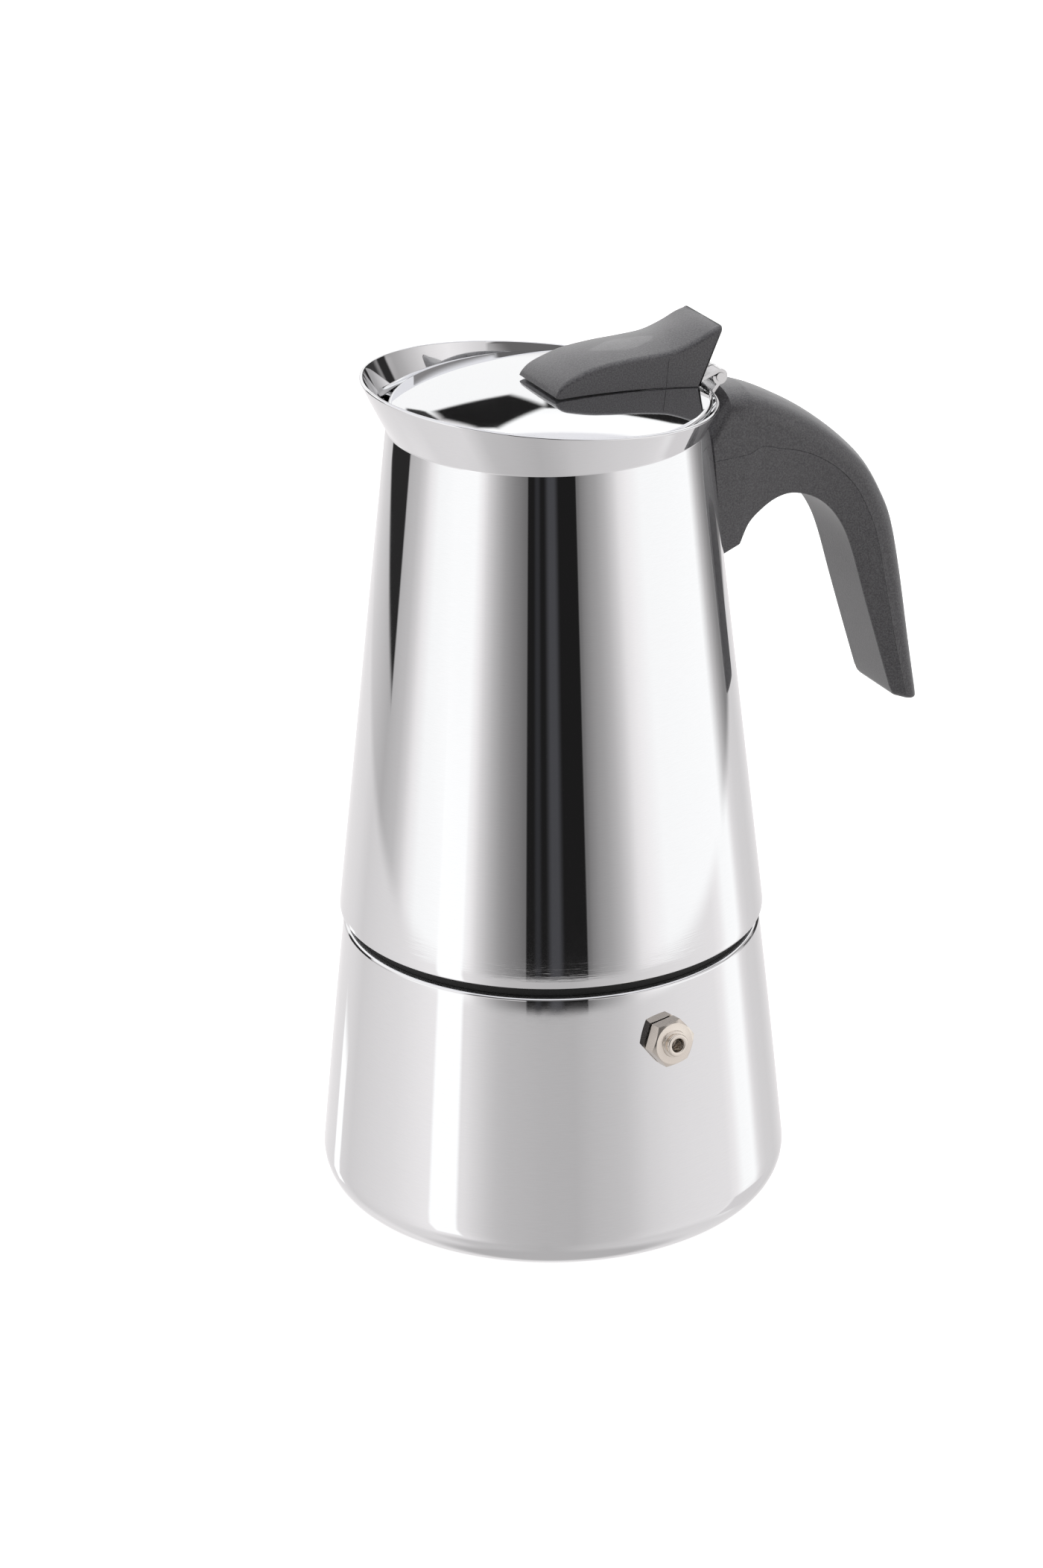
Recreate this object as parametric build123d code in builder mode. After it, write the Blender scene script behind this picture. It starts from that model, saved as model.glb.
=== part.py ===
from build123d import *
import os
from math import atan2, cos, degrees, hypot, radians, sin, sqrt, tan

# Stove-top moka pot for about six cups: a boiler with a safety valve, a coffee funnel that hangs in
# its neck, and a screwed-on jug with a hinged lid and a one-ended handle.
# The pot's axis is +Z and the table is Z = 0. The handle points to +X and the pouring lip to -X.

# ---------------------------------------------------------------- driving dimensions, millimetres

# Boiler
foot_r = 52.9            # radius of the wall's line at the table, before the base is rounded
base_round = 8.5         # radius of the rounded base edge
shoulder_r = 46.2        # radius of the wall's line at the shoulder
shoulder_z = 64.4        # height of the shoulder
shoulder_round = 1.0     # radius of the shoulder's edge
boiler_wall = 1.0
boiler_floor = 1.6
neck_wall = 1.6
neck_h = 12.2            # height of the neck above the shoulder
thread_pitch = 3.0
thread_depth = 0.6
thread_turns = 2.5
thread_land = 0.3        # plain neck above the thread
thread_clearance = 0.4   # between the thread's crest and the jug's bore

# Joint between boiler and jug
joint_gap = 2.3          # open height between the shoulder and the jug's edge
band_recess = 1.3        # how far the black band lies inside the shoulder

# Coffee funnel
basket_gap = 3.0         # between the basket and the neck
basket_depth = 22.0
funnel_wall = 0.7
flange_inset = 0.4       # how far the flange stops short of the neck's outside
cone_h = 9.0             # height of the cone between basket and stem
stem_r = 4.5             # outside of the stem
stem_floor_gap = 4.4     # stem's end above the boiler's floor
sieve_t = 0.6
sieve_hole_r = 0.9
sieve_pitch = 5.6        # spacing of the sieve's rings of holes
sieve_rings = 5

# Gasket and filter plate
gasket_t = 4.0
gasket_w = 8.9           # width of the ring
filter_grip = 1.5        # how far the gasket holds the filter plate's edge
filter_t = 0.7
filter_hole_r = 0.8
filter_pitch = 5.0       # spacing of the filter's rings of holes
filter_rings = 6

# Jug
jug_overhang = 0.1       # jug's lower edge outside the shoulder
jug_h = 112.1            # from the jug's lower edge to the crease under the flare
crease_r = 33.75         # outside of the jug at the crease
jug_wall = 0.8
jug_edge_round = 0.35
flare_length = 4.85      # rim's half axis along the spout, more than the crease's radius
flare_width = 2.65       # rim's half axis across, more than the crease's radius
rim_shift = 1.35         # rim's centre, towards the spout
rim_rise = 7.95          # height of the rim's centre above the crease
rim_tilt = 6.3           # degrees, rising towards the spout
socket_wall = 1.2        # thinnest wall of the threaded socket inside the jug
jug_floor_t = 1.2

# Column
column_foot_r = 11.0
column_low_r = 7.5       # outside of the tube at the floor
column_top_r = 5.0
column_h = 68.0
column_wall = 0.8
column_foot_t = 0.8
cap_h = 8.5              # height of the cap above the tube's end
cap_overlap = 5.0        # how far the cap reaches down over the tube
cap_wall = 0.8
cap_port_r = 2.2

# Lid
lid_rise = 5.1           # height of the dome's edge above the crease
lid_gap = 0.2            # between the lid and the flare
lid_drop = 2.6           # fall of the dome from centre to edge
lid_lip = 1.3            # depth of the turned-down lip
lid_wall = 0.6
lid_round = 1.0

# Hinge
pin_out = 0.3            # pin's axis behind the rim
pin_up = 1.8             # pin's axis above the dome's edge
pin_r = 0.95
pin_overhang = 0.2       # pin's end beyond the lid leaf
leaf_t = 0.75
lid_leaf_w = 17.0
lid_leaf_len = 24.3      # from the lid leaf's inner end to the pin
lid_leaf_rise_len = 6.7  # from where it leaves the dome to the pin
lid_curl = 300           # degrees of the lid leaf's roll round the pin
jug_leaf_w = 10.0
jug_leaf_low = 10.8      # jug leaf's lower end below the crease
jug_leaf_bend = 1.4      # where it turns out under the flare, below the crease
jug_leaf_top = 0.2       # where it turns up, above the rim's back
jug_curl = 300           # degrees of the jug leaf's roll

# Knob: lengths back from the pin and heights above the lid's top
knob_w = 18.0
knob_tip = (-39.8, 0.7)
knob_nose = (-36.3, 4.1)    # a point on the rounded nose
knob_brow = (-29.3, 6.1)    # end of the nose
knob_waist = (-11.3, 7.4)   # where the back starts to rise
knob_thumb = (-2.3, 10.5)   # end of the rise
knob_back = (0.6, 11.1)
knob_foot_len = 5.0      # from the foot of the slanting back to the pin
knob_heel_len = 37.3     # from where the tip lifts off the lid to the pin
knob_round = 1.3
knob_screw_lens = (29.3, 15.3)   # from the screws to the pin
knob_screw_r = 1.5
knob_screw_len = 5.0     # length inside the knob
knob_screw_head_r = 3.0
knob_screw_head_t = 1.2

# Handle: lengths out from the pin and heights from it
handle_w = 19.0
handle_crown = 2.7       # rise of the crowned back over its edges, at the jug
handle_end_crown = 4.3   # the same at the free end
handle_gap = 0.25        # between the handle's flat face and the jug
handle_face = (-41.3, -10.1)   # lower and upper end of the face against the jug
handle_top = (2.6, -3.7)
handle_bow = ((17.2, -9.0), (30.2, -17.4), (40.4, -29.4))
handle_knee = (45.8, -41.3)    # where the back becomes straight
handle_tip = (52.8, -85.1)
handle_inner_tip = (45.1, -82.5)
handle_bend = (33.9, -44.7)    # where the finger arch becomes straight
handle_arch = ((28.5, -34.6), (18.7, -29.3), (10.1, -32.6))
handle_heel = (5.3, -39.5)     # lower end of the arch, beside the jug
handle_round = 0.8
bracket_w = 12.0
bracket_t = 2.0
bracket_leg = 14.0       # length of the bracket's leg below the tongue
tongue_up = 7.6          # tongue's underside above the arch
tongue_t = 2.5
tongue_end = 6.5         # tongue's end beyond the screw
screw_back = 2.5         # screw's axis, from the top of the arch towards the jug
handle_screw_r = 1.9
handle_screw_head_r = 3.4
handle_screw_head_t = 1.8
handle_screw_sink = 3.2  # depth of the head's seat above the arch
handle_screw_end = 1.5   # screw's end above the tongue
screw_slot_w = 1.0
screw_slot_t = 0.8

# Safety valve
valve_angle = -85.0      # degrees about the pot's axis, from +X
valve_drop = 12.9        # valve's axis below the shoulder
washer_r = 4.4
washer_t = 0.6
valve_hex = 9.0          # across flats
valve_hex_t = 3.4
valve_face_r = 4.6       # turned face in front of the hexagon's corners
valve_face_taper = 30.0
nipple_r = 2.45
nipple_h = 1.6
nipple_bore_r = 1.4
valve_shank_r = 3.1
valve_shank_len = 8.0    # below the hexagon's seat
valve_chamber_r = 2.1
valve_seat_t = 1.0
inner_seal_r = 5.0
inner_seal_t = 1.0
lock_nut_t = 2.6
piston_r = 1.8
piston_t = 1.2
piston_stem_r = 1.1
piston_sink = 0.9        # piston's end below the nipple's end
piston_travel = 0.8
spring_wire_r = 0.2
spring_gap = 0.15        # between the spring and the piston's stem
spring_turns = 5

# Clearances
seat = 0.05              # between pieces that sit on each other
slip = 0.3               # around pieces that drop in or slide
screw_gap = 0.15         # around a screw's shank

# ---------------------------------------------------------------- worked-out places

boiler_slope = (foot_r - shoulder_r) / shoulder_z
neck_top_z = shoulder_z + neck_h
jug_low_z = shoulder_z + joint_gap
crease_z = jug_low_z + jug_h
jug_foot_r = shoulder_r + jug_overhang
jug_slope = (jug_foot_r - crease_r) / jug_h
flange_z = neck_top_z + seat
flange_top_z = flange_z + funnel_wall
gasket_z = flange_top_z + seat
floor_z = gasket_z + gasket_t + seat
floor_top_z = floor_z + jug_floor_t


def boiler_r_at(z):
    """Outside radius of the boiler's wall at height z."""
    return foot_r - boiler_slope * z


def jug_r_at(z):
    """Outside radius of the jug's wall at height z."""
    return jug_foot_r - jug_slope * (z - jug_low_z)


def jug_in_r_at(z):
    """Inside radius of the jug's wall at height z, less the seat of what is fixed in it."""
    return jug_r_at(z) - jug_wall - seat


bore_r = jug_in_r_at(floor_z) - socket_wall
neck_r = bore_r - thread_clearance - thread_depth
neck_in_r = neck_r - neck_wall
flange_r = neck_r - flange_inset
basket_r = neck_in_r - basket_gap
gasket_in_r = bore_r - slip - gasket_w
filter_r = gasket_in_r + filter_grip

rim_half_length = crease_r + flare_length
rim_half_width = crease_r + flare_width
rim_z = crease_z + rim_rise
rim_back_x = rim_half_length * cos(radians(rim_tilt)) - rim_shift
rim_back_z = rim_z - rim_half_length * sin(radians(rim_tilt))
lid_edge_z = crease_z + lid_rise
lid_top_z = lid_edge_z + lid_drop
lid_r = crease_r - jug_wall + flare_width * (lid_rise - lid_lip) / rim_rise - lid_gap
dome_r = (lid_r ** 2 + lid_drop ** 2) / (2 * lid_drop)
pin_x = rim_back_x + pin_out
pin_z = lid_edge_z + pin_up
knob_screw_x = [pin_x - length for length in knob_screw_lens]


def dome_z(x):
    """Height of the lid's outer face at a distance x from the pot's axis."""
    return lid_top_z - dome_r + sqrt(dome_r ** 2 - x ** 2)


def spun(points):
    """Close an outline of (radius, height) points on the XZ plane, ready to revolve."""
    with BuildSketch(Plane.XZ) as outline:
        with BuildLine():
            Polyline(*points, close=True)
        make_face()
    return outline.sketch


def disc(radius, z, x=0):
    """A round face at height z and a distance x along the middle plane, ready to extrude."""
    with BuildSketch(Plane.XY.offset(z)) as face:
        with Locations((x, 0)):
            Circle(radius)
    return face.sketch


def finish(piece, name, colour):
    """Label a finished piece and write it to its own STEP file."""
    piece.part.label = name
    piece.part.color = Color(*colour)
    export_step(piece.part, f"parts/{name}.step")


os.makedirs("parts", exist_ok=True)
STEEL = (0.78, 0.79, 0.80)
BLACK = (0.08, 0.08, 0.09)
NICKEL = (0.72, 0.66, 0.56)
SILICONE = (0.85, 0.84, 0.80)

# ---------------------------------------------------------------- boiler

valve_z = shoulder_z - valve_drop
valve_r = boiler_r_at(valve_z)
valve_tilt = atan2(boiler_slope, 1)
valve_plane = Plane(
    origin=(valve_r * cos(radians(valve_angle)), valve_r * sin(radians(valve_angle)), valve_z),
    x_dir=(-sin(radians(valve_angle)), cos(radians(valve_angle)), 0),
    z_dir=(
        cos(radians(valve_angle)) * cos(valve_tilt),
        sin(radians(valve_angle)) * cos(valve_tilt),
        sin(valve_tilt),
    ),
)


def valve_disc(radius, height):
    """A round face on the valve's axis, at a height above the boiler's wall."""
    with BuildSketch(valve_plane.offset(height)) as face:
        Circle(radius)
    return face.sketch


with BuildPart() as boiler:
    with BuildSketch(Plane.XZ) as boiler_outline:
        with BuildLine():
            Polyline(
                (0, 0),
                (foot_r, 0),
                (shoulder_r, shoulder_z),
                (neck_r, shoulder_z),
                (neck_r, neck_top_z),
                (neck_in_r, neck_top_z),
                (neck_in_r, shoulder_z - boiler_wall),
                (shoulder_r - boiler_wall, shoulder_z - boiler_wall),
                (boiler_r_at(boiler_floor) - boiler_wall, boiler_floor),
                (0, boiler_floor),
                close=True,
            )
        make_face()
        inner_foot = (boiler_r_at(boiler_floor) - boiler_wall, boiler_floor)
        fillet(boiler_outline.vertices().sort_by_distance((foot_r, 0))[0], base_round)
        fillet(boiler_outline.vertices().sort_by_distance(inner_foot)[0], base_round - boiler_wall)
        fillet(boiler_outline.vertices().sort_by_distance((shoulder_r, shoulder_z))[0], shoulder_round)
    revolve(axis=Axis.Z)
    # Rolled thread on the neck, right-handed
    with BuildLine() as thread_path:
        thread_h = thread_turns * thread_pitch
        thread_z = neck_top_z - thread_land - thread_depth - thread_h
        Helix(thread_pitch, thread_h, neck_r, center=(0, 0, thread_z))
    with BuildSketch(Plane(thread_path.line @ 0, x_dir=(1, 0, 0), z_dir=thread_path.line % 0)):
        Circle(thread_depth)
    sweep(path=thread_path.line, is_frenet=True)
    # Hole for the safety valve
    hole = valve_disc(valve_shank_r + seat, boiler_wall)
    extrude(hole, amount=-3 * boiler_wall, mode=Mode.SUBTRACT)
finish(boiler, "boiler", STEEL)

with BuildPart() as seam_band:
    band_r = shoulder_r - band_recess
    revolve(
        spun([
            (neck_r + seat, shoulder_z + seat),
            (band_r, shoulder_z + seat),
            (band_r, jug_low_z + slip),
            (neck_r + seat, jug_low_z + slip),
        ]),
        axis=Axis.Z,
    )
finish(seam_band, "seam_band", BLACK)

# ---------------------------------------------------------------- safety valve

hex_r = valve_hex / sqrt(3)
washer_z = seat
hex_z = washer_z + washer_t + seat
nipple_z = hex_z + valve_hex_t
valve_end_z = nipple_z + nipple_h
shank_end_z = hex_z - valve_shank_len
chamber_top_z = nipple_z - valve_seat_t
chamber_low_z = shank_end_z + valve_seat_t
# The boiler's wall curves away from a flat ring, so what sits inside it stands off by the sagitta
inner_seal_z = -boiler_wall - inner_seal_r ** 2 / (2 * (valve_r - boiler_wall)) - slip
lock_nut_z = inner_seal_z - inner_seal_t - seat

with BuildPart() as valve_washer:
    extrude(valve_disc(washer_r, washer_z), amount=washer_t)
    extrude(valve_disc(valve_shank_r + seat, washer_z), amount=washer_t, mode=Mode.SUBTRACT)
finish(valve_washer, "valve_washer", BLACK)

with BuildPart() as valve_body:
    with BuildSketch(valve_plane.offset(hex_z)):
        RegularPolygon(hex_r, 6)
    extrude(amount=valve_hex_t)
    # Turned face: a cone takes the hexagon's corners off
    cone_r = valve_face_r + valve_hex_t * tan(radians(valve_face_taper))
    extrude(valve_disc(cone_r, hex_z), amount=valve_hex_t, taper=valve_face_taper, mode=Mode.INTERSECT)
    extrude(valve_disc(valve_shank_r, shank_end_z), amount=valve_shank_len)
    extrude(valve_disc(nipple_r, nipple_z), amount=nipple_h)
    extrude(valve_disc(nipple_bore_r, shank_end_z), amount=valve_end_z - shank_end_z, mode=Mode.SUBTRACT)
    chamber = valve_disc(valve_chamber_r, chamber_low_z)
    extrude(chamber, amount=chamber_top_z - chamber_low_z, mode=Mode.SUBTRACT)
finish(valve_body, "valve_body", NICKEL)

with BuildPart() as valve_inner_seal:
    extrude(valve_disc(inner_seal_r, inner_seal_z), amount=-inner_seal_t)
    extrude(valve_disc(valve_shank_r + seat, inner_seal_z), amount=-inner_seal_t, mode=Mode.SUBTRACT)
finish(valve_inner_seal, "valve_inner_seal", BLACK)

with BuildPart() as valve_lock_nut:
    with BuildSketch(valve_plane.offset(lock_nut_z)):
        RegularPolygon(hex_r, 6)
        Circle(valve_shank_r + seat, mode=Mode.SUBTRACT)
    extrude(amount=-lock_nut_t)
finish(valve_lock_nut, "valve_lock_nut", NICKEL)

piston_z = chamber_low_z + seat
spring_z = piston_z + piston_t + spring_wire_r
spring_h = chamber_top_z - piston_travel - seat - spring_wire_r - spring_z

with BuildPart() as valve_piston:
    extrude(valve_disc(piston_r, piston_z), amount=piston_t)
    extrude(valve_disc(piston_stem_r, piston_z), amount=valve_end_z - piston_sink - piston_z)
finish(valve_piston, "valve_piston", NICKEL)

with BuildPart() as valve_spring:
    with BuildLine() as coil:
        coil_r = piston_stem_r + spring_wire_r + spring_gap
        Helix(
            spring_h / spring_turns,
            spring_h,
            coil_r,
            center=valve_plane.origin + valve_plane.z_dir * spring_z,
            direction=valve_plane.z_dir,
        )
    with BuildSketch(Plane(coil.line @ 0, z_dir=coil.line % 0)):
        Circle(spring_wire_r)
    sweep(path=coil.line, is_frenet=True)
finish(valve_spring, "valve_spring", STEEL)

# ---------------------------------------------------------------- coffee funnel

basket_low_z = flange_z - basket_depth
stem_top_z = basket_low_z - cone_h
stem_low_z = boiler_floor + stem_floor_gap
basket_in_r = basket_r - funnel_wall
stem_in_r = stem_r - funnel_wall
cone_inset = funnel_wall * (hypot(basket_r - stem_r, cone_h) - (basket_r - stem_r)) / cone_h
cone_wall_h = funnel_wall * hypot(basket_r - stem_r, cone_h) / (basket_r - stem_r)

with BuildPart() as funnel:
    revolve(
        spun([
            (basket_in_r, flange_top_z),
            (flange_r, flange_top_z),
            (flange_r, flange_z),
            (basket_r, flange_z),
            (basket_r, basket_low_z),
            (stem_r, stem_top_z),
            (stem_in_r, stem_top_z),
            (stem_in_r, stem_top_z + cone_wall_h - cone_inset),
            (basket_in_r, basket_low_z + cone_wall_h - cone_inset),
        ]),
        axis=Axis.Z,
    )
finish(funnel, "funnel", STEEL)

# The stem is a tube joined end to end with the cone
with BuildPart() as funnel_tube:
    extrude(disc(stem_r, stem_low_z), amount=stem_top_z - seat - stem_low_z)
    extrude(disc(stem_in_r, stem_low_z), amount=stem_top_z - stem_low_z, mode=Mode.SUBTRACT)
finish(funnel_tube, "funnel_tube", STEEL)

sieve_z = basket_low_z + cone_wall_h - cone_inset + seat
with BuildPart() as funnel_sieve:
    with BuildSketch(Plane.XY.offset(sieve_z)):
        Circle(basket_in_r - seat)
        for ring in range(1, sieve_rings + 1):
            with PolarLocations(ring * sieve_pitch, 6 * ring):
                Circle(sieve_hole_r, mode=Mode.SUBTRACT)
    extrude(amount=sieve_t)
finish(funnel_sieve, "funnel_sieve", STEEL)

# ---------------------------------------------------------------- gasket and filter plate

filter_z = gasket_z + seat
with BuildPart() as gasket:
    recess_r = filter_r + seat
    recess_z = filter_z + filter_t + seat
    revolve(
        spun([
            (recess_r, gasket_z),
            (bore_r - slip, gasket_z),
            (bore_r - slip, gasket_z + gasket_t),
            (gasket_in_r, gasket_z + gasket_t),
            (gasket_in_r, recess_z),
            (recess_r, recess_z),
        ]),
        axis=Axis.Z,
    )
finish(gasket, "gasket", SILICONE)

with BuildPart() as filter_plate:
    with BuildSketch(Plane.XY.offset(filter_z)):
        Circle(filter_r)
        Circle(filter_hole_r, mode=Mode.SUBTRACT)
        for ring in range(1, filter_rings + 1):
            with PolarLocations(ring * filter_pitch, 6 * ring):
                Circle(filter_hole_r, mode=Mode.SUBTRACT)
    extrude(amount=filter_t)
finish(filter_plate, "filter_plate", STEEL)

# ---------------------------------------------------------------- jug

rim_plane = Plane(
    origin=(-rim_shift, 0, rim_z),
    x_dir=(cos(radians(rim_tilt)), 0, -sin(radians(rim_tilt))),
    z_dir=(sin(radians(rim_tilt)), 0, cos(radians(rim_tilt))),
)

with BuildPart() as jug:
    with BuildSketch(Plane.XZ) as jug_outline:
        with BuildLine():
            Polyline((0, jug_low_z), (jug_foot_r, jug_low_z), (crease_r, crease_z), (0, crease_z), close=True)
        make_face()
        fillet(jug_outline.vertices().sort_by_distance((jug_foot_r, jug_low_z))[0], jug_edge_round)
    revolve(axis=Axis.Z)
    # Flare from the round neck to the egg-shaped, slanting rim
    with BuildSketch(Plane.XY.offset(crease_z)):
        Circle(crease_r)
    with BuildSketch(rim_plane):
        Ellipse(rim_half_length, rim_half_width)
    loft()
    # Inside
    revolve(
        spun([
            (0, jug_low_z),
            (jug_foot_r - jug_wall, jug_low_z),
            (crease_r - jug_wall, crease_z),
            (0, crease_z),
        ]),
        axis=Axis.Z,
        mode=Mode.SUBTRACT,
    )
    with BuildSketch(Plane.XY.offset(crease_z)):
        Circle(crease_r - jug_wall)
    with BuildSketch(rim_plane):
        Ellipse(rim_half_length - jug_wall, rim_half_width - jug_wall)
    loft(mode=Mode.SUBTRACT)
finish(jug, "jug", STEEL)

socket_low_z = jug_low_z + 2 * slip
with BuildPart() as jug_base:
    revolve(
        spun([
            (bore_r, socket_low_z),
            (jug_in_r_at(socket_low_z), socket_low_z),
            (jug_in_r_at(floor_top_z), floor_top_z),
            (column_low_r + seat, floor_top_z),
            (column_low_r + seat, floor_z),
            (bore_r, floor_z),
        ]),
        axis=Axis.Z,
    )
finish(jug_base, "jug_base", STEEL)

column_foot_z = floor_top_z + seat
column_top_z = column_foot_z + column_h
with BuildPart() as column:
    revolve(
        spun([
            (column_low_r - column_wall, floor_z),
            (column_low_r, floor_z),
            (column_low_r, column_foot_z),
            (column_foot_r, column_foot_z),
            (column_foot_r, column_foot_z + column_foot_t),
            (column_low_r, column_foot_z + column_foot_t),
            (column_top_r, column_top_z),
            (column_top_r - column_wall, column_top_z),
        ]),
        axis=Axis.Z,
    )
finish(column, "column", STEEL)

cap_low_z = column_top_z - cap_overlap
cap_in_r = column_top_r + (column_low_r - column_top_r) * cap_overlap / (column_h - column_foot_t) + seat
cap_r = cap_in_r + cap_wall
with BuildPart() as column_cap:
    with BuildSketch(Plane.XZ) as cap_outline:
        with BuildLine():
            Polyline(
                (cap_in_r, cap_low_z),
                (cap_r, cap_low_z),
                (cap_r, column_top_z + cap_h),
                (0, column_top_z + cap_h),
                (0, column_top_z + cap_h - cap_wall),
                (cap_in_r, column_top_z + cap_h - cap_wall),
                close=True,
            )
        make_face()
        fillet(cap_outline.vertices().sort_by_distance((cap_r, column_top_z + cap_h))[0], cap_wall)
    revolve(axis=Axis.Z)
    # Two ports through which the coffee runs out
    with BuildSketch(Plane.XZ):
        with Locations((0, column_top_z + cap_port_r + slip)):
            Circle(cap_port_r)
    extrude(amount=2 * cap_r, both=True, mode=Mode.SUBTRACT)
finish(column_cap, "column_cap", STEEL)

# ---------------------------------------------------------------- lid

with BuildPart() as lid:
    with BuildSketch(Plane.XZ) as lid_outline:
        with BuildLine():
            TangentArc((0, lid_top_z), (lid_r, lid_edge_z), tangent=(1, 0))
            Polyline(
                (lid_r, lid_edge_z),
                (lid_r, lid_edge_z - lid_lip),
                (lid_r - lid_wall, lid_edge_z - lid_lip),
                (lid_r - lid_wall, lid_edge_z - lid_wall),
            )
            TangentArc((0, lid_top_z - lid_wall), (lid_r - lid_wall, lid_edge_z - lid_wall), tangent=(1, 0))
            Line((0, lid_top_z - lid_wall), (0, lid_top_z))
        make_face()
        fillet(lid_outline.vertices().sort_by_distance((lid_r, lid_edge_z))[0], lid_round)
        inner_edge = (lid_r - lid_wall, lid_edge_z - lid_wall)
        fillet(lid_outline.vertices().sort_by_distance(inner_edge)[0], lid_round - lid_wall)
    revolve(axis=Axis.Z)
    for x in knob_screw_x:
        screw_hole = disc(knob_screw_r + screw_gap, lid_edge_z - lid_lip, x)
        extrude(screw_hole, amount=2 * lid_lip + lid_drop, mode=Mode.SUBTRACT)
finish(lid, "lid", STEEL)

# ---------------------------------------------------------------- hinge

pin_len = lid_leaf_w + 2 * pin_overhang
roll_r = pin_r + seat + leaf_t / 2      # middle of the sheet rolled round the pin
leaf_lift = leaf_t / 2 + seat           # middle of a sheet lying on a face


def lid_leaf_section(thickness):
    """Section of the lid leaf: along the dome, up to the pin, over it and round."""
    start_x = pin_x - lid_leaf_len
    bend_x = pin_x - lid_leaf_rise_len
    lift = leaf_lift + (bend_x - start_x) ** 2 / (8 * dome_r)
    bend = Vector(bend_x, dome_z(bend_x) + lift)
    pin = Vector(pin_x, pin_z)
    reach = (pin - bend).length
    slope = atan2(pin.Y - bend.Y, pin.X - bend.X) + atan2(roll_r, sqrt(reach ** 2 - roll_r ** 2))
    touch = pin + Vector(-sin(slope), cos(slope)) * roll_r
    with BuildSketch(Plane.XZ) as section:
        with BuildLine():
            Polyline((start_x, dome_z(start_x) + lift), bend, touch)
            CenterArc(pin, roll_r, 90 + degrees(slope), -lid_curl)
        trace(line_width=thickness)
    return section.sketch


def jug_leaf_section(thickness):
    """Section of the jug leaf: up the jug's wall, out under the flare, up and round the pin."""
    low_z = crease_z - jug_leaf_low
    bend_z = crease_z - jug_leaf_bend
    with BuildSketch(Plane.XZ) as section:
        with BuildLine():
            Polyline(
                (jug_r_at(low_z) + leaf_lift, low_z),
                (jug_r_at(bend_z) + leaf_lift, bend_z),
                (pin_x + roll_r, rim_back_z + jug_leaf_top),
                (pin_x + roll_r, pin_z),
            )
            CenterArc((pin_x, pin_z), roll_r, 0, jug_curl)
        trace(line_width=thickness)
    return section.sketch


with BuildPart() as lid_hinge_leaf:
    extrude(lid_leaf_section(leaf_t), amount=lid_leaf_w / 2, both=True)
    # Gap for the jug leaf's knuckle
    with BuildSketch(Plane.XZ):
        with Locations((pin_x, pin_z)):
            Rectangle(4 * roll_r, 4 * roll_r)
    extrude(amount=jug_leaf_w / 2 + slip, both=True, mode=Mode.SUBTRACT)
    screw_hole = disc(knob_screw_r + screw_gap, lid_edge_z, knob_screw_x[-1])
    extrude(screw_hole, amount=lid_drop + 2 * leaf_t, mode=Mode.SUBTRACT)
finish(lid_hinge_leaf, "lid_hinge_leaf", STEEL)

with BuildPart() as jug_hinge_leaf:
    extrude(jug_leaf_section(leaf_t), amount=jug_leaf_w / 2, both=True)
finish(jug_hinge_leaf, "jug_hinge_leaf", STEEL)

with BuildPart() as hinge_pin:
    with BuildSketch(Plane.XZ):
        with Locations((pin_x, pin_z)):
            Circle(pin_r)
    extrude(amount=pin_len / 2, both=True)
finish(hinge_pin, "hinge_pin", STEEL)

# ---------------------------------------------------------------- knob

knob_low_lift = 2 * seat


def knob_point(place):
    """A point of the knob's outline, from its length to the pin and its height on the lid."""
    return (pin_x + place[0], lid_top_z + place[1])


def on_dome(x):
    """A point of the knob's underside, just above the lid."""
    return (x, dome_z(x) + knob_low_lift)


with BuildPart() as knob:
    foot_x = pin_x - knob_foot_len
    heel_x = pin_x - knob_heel_len
    with BuildSketch(Plane.XZ) as knob_outline:
        with BuildLine():
            nose = ThreePointArc(knob_point(knob_tip), knob_point(knob_nose), knob_point(knob_brow))
            top = TangentArc(nose @ 1, knob_point(knob_waist), tangent=nose % 1)
            rise = TangentArc(top @ 1, knob_point(knob_thumb), tangent=top % 1)
            Line(rise @ 1, knob_point(knob_back))
            Line(knob_point(knob_back), on_dome(foot_x))
            ThreePointArc(on_dome(foot_x), on_dome((foot_x + heel_x) / 2), on_dome(heel_x))
            Line(on_dome(heel_x), knob_point(knob_tip))
        make_face()
        fillet(knob_outline.vertices().sort_by_distance(knob_point(knob_back))[0], knob_round)
    extrude(amount=knob_w / 2, both=True)
    side_edges = knob.faces().filter_by(Axis.Y).edges()
    high_z = lid_top_z + knob_tip[1] + knob_round
    fillet(side_edges.filter_by(lambda edge: edge.center().Z > high_z), knob_round)
    # Recess over the lid leaf, and holes for the screws
    extrude(lid_leaf_section(leaf_t + 2 * seat), amount=lid_leaf_w / 2 + slip, both=True, mode=Mode.SUBTRACT)
    for x in knob_screw_x:
        screw_hole = disc(knob_screw_r + seat, lid_edge_z, x)
        extrude(screw_hole, amount=lid_drop + knob_screw_len + 2 * seat, mode=Mode.SUBTRACT)
finish(knob, "lid_knob", BLACK)

with BuildPart() as knob_screws:
    for x in knob_screw_x:
        head_z = dome_z(x + knob_screw_head_r) - lid_wall - 2 * seat - knob_screw_head_t
        extrude(disc(knob_screw_head_r, head_z, x), amount=knob_screw_head_t)
        extrude(disc(knob_screw_r, head_z, x), amount=lid_top_z + knob_screw_len - head_z)
finish(knob_screws, "knob_screws", STEEL)

# ---------------------------------------------------------------- handle, bracket and screw


def handle_point(place):
    """A point of the handle's outline, from its place beside the pin."""
    return (pin_x + place[0], pin_z + place[1])


def on_face(z):
    """A point of the handle's flat face, which lies along the jug's wall at +X."""
    return (jug_r_at(z) + handle_gap, z)


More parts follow.
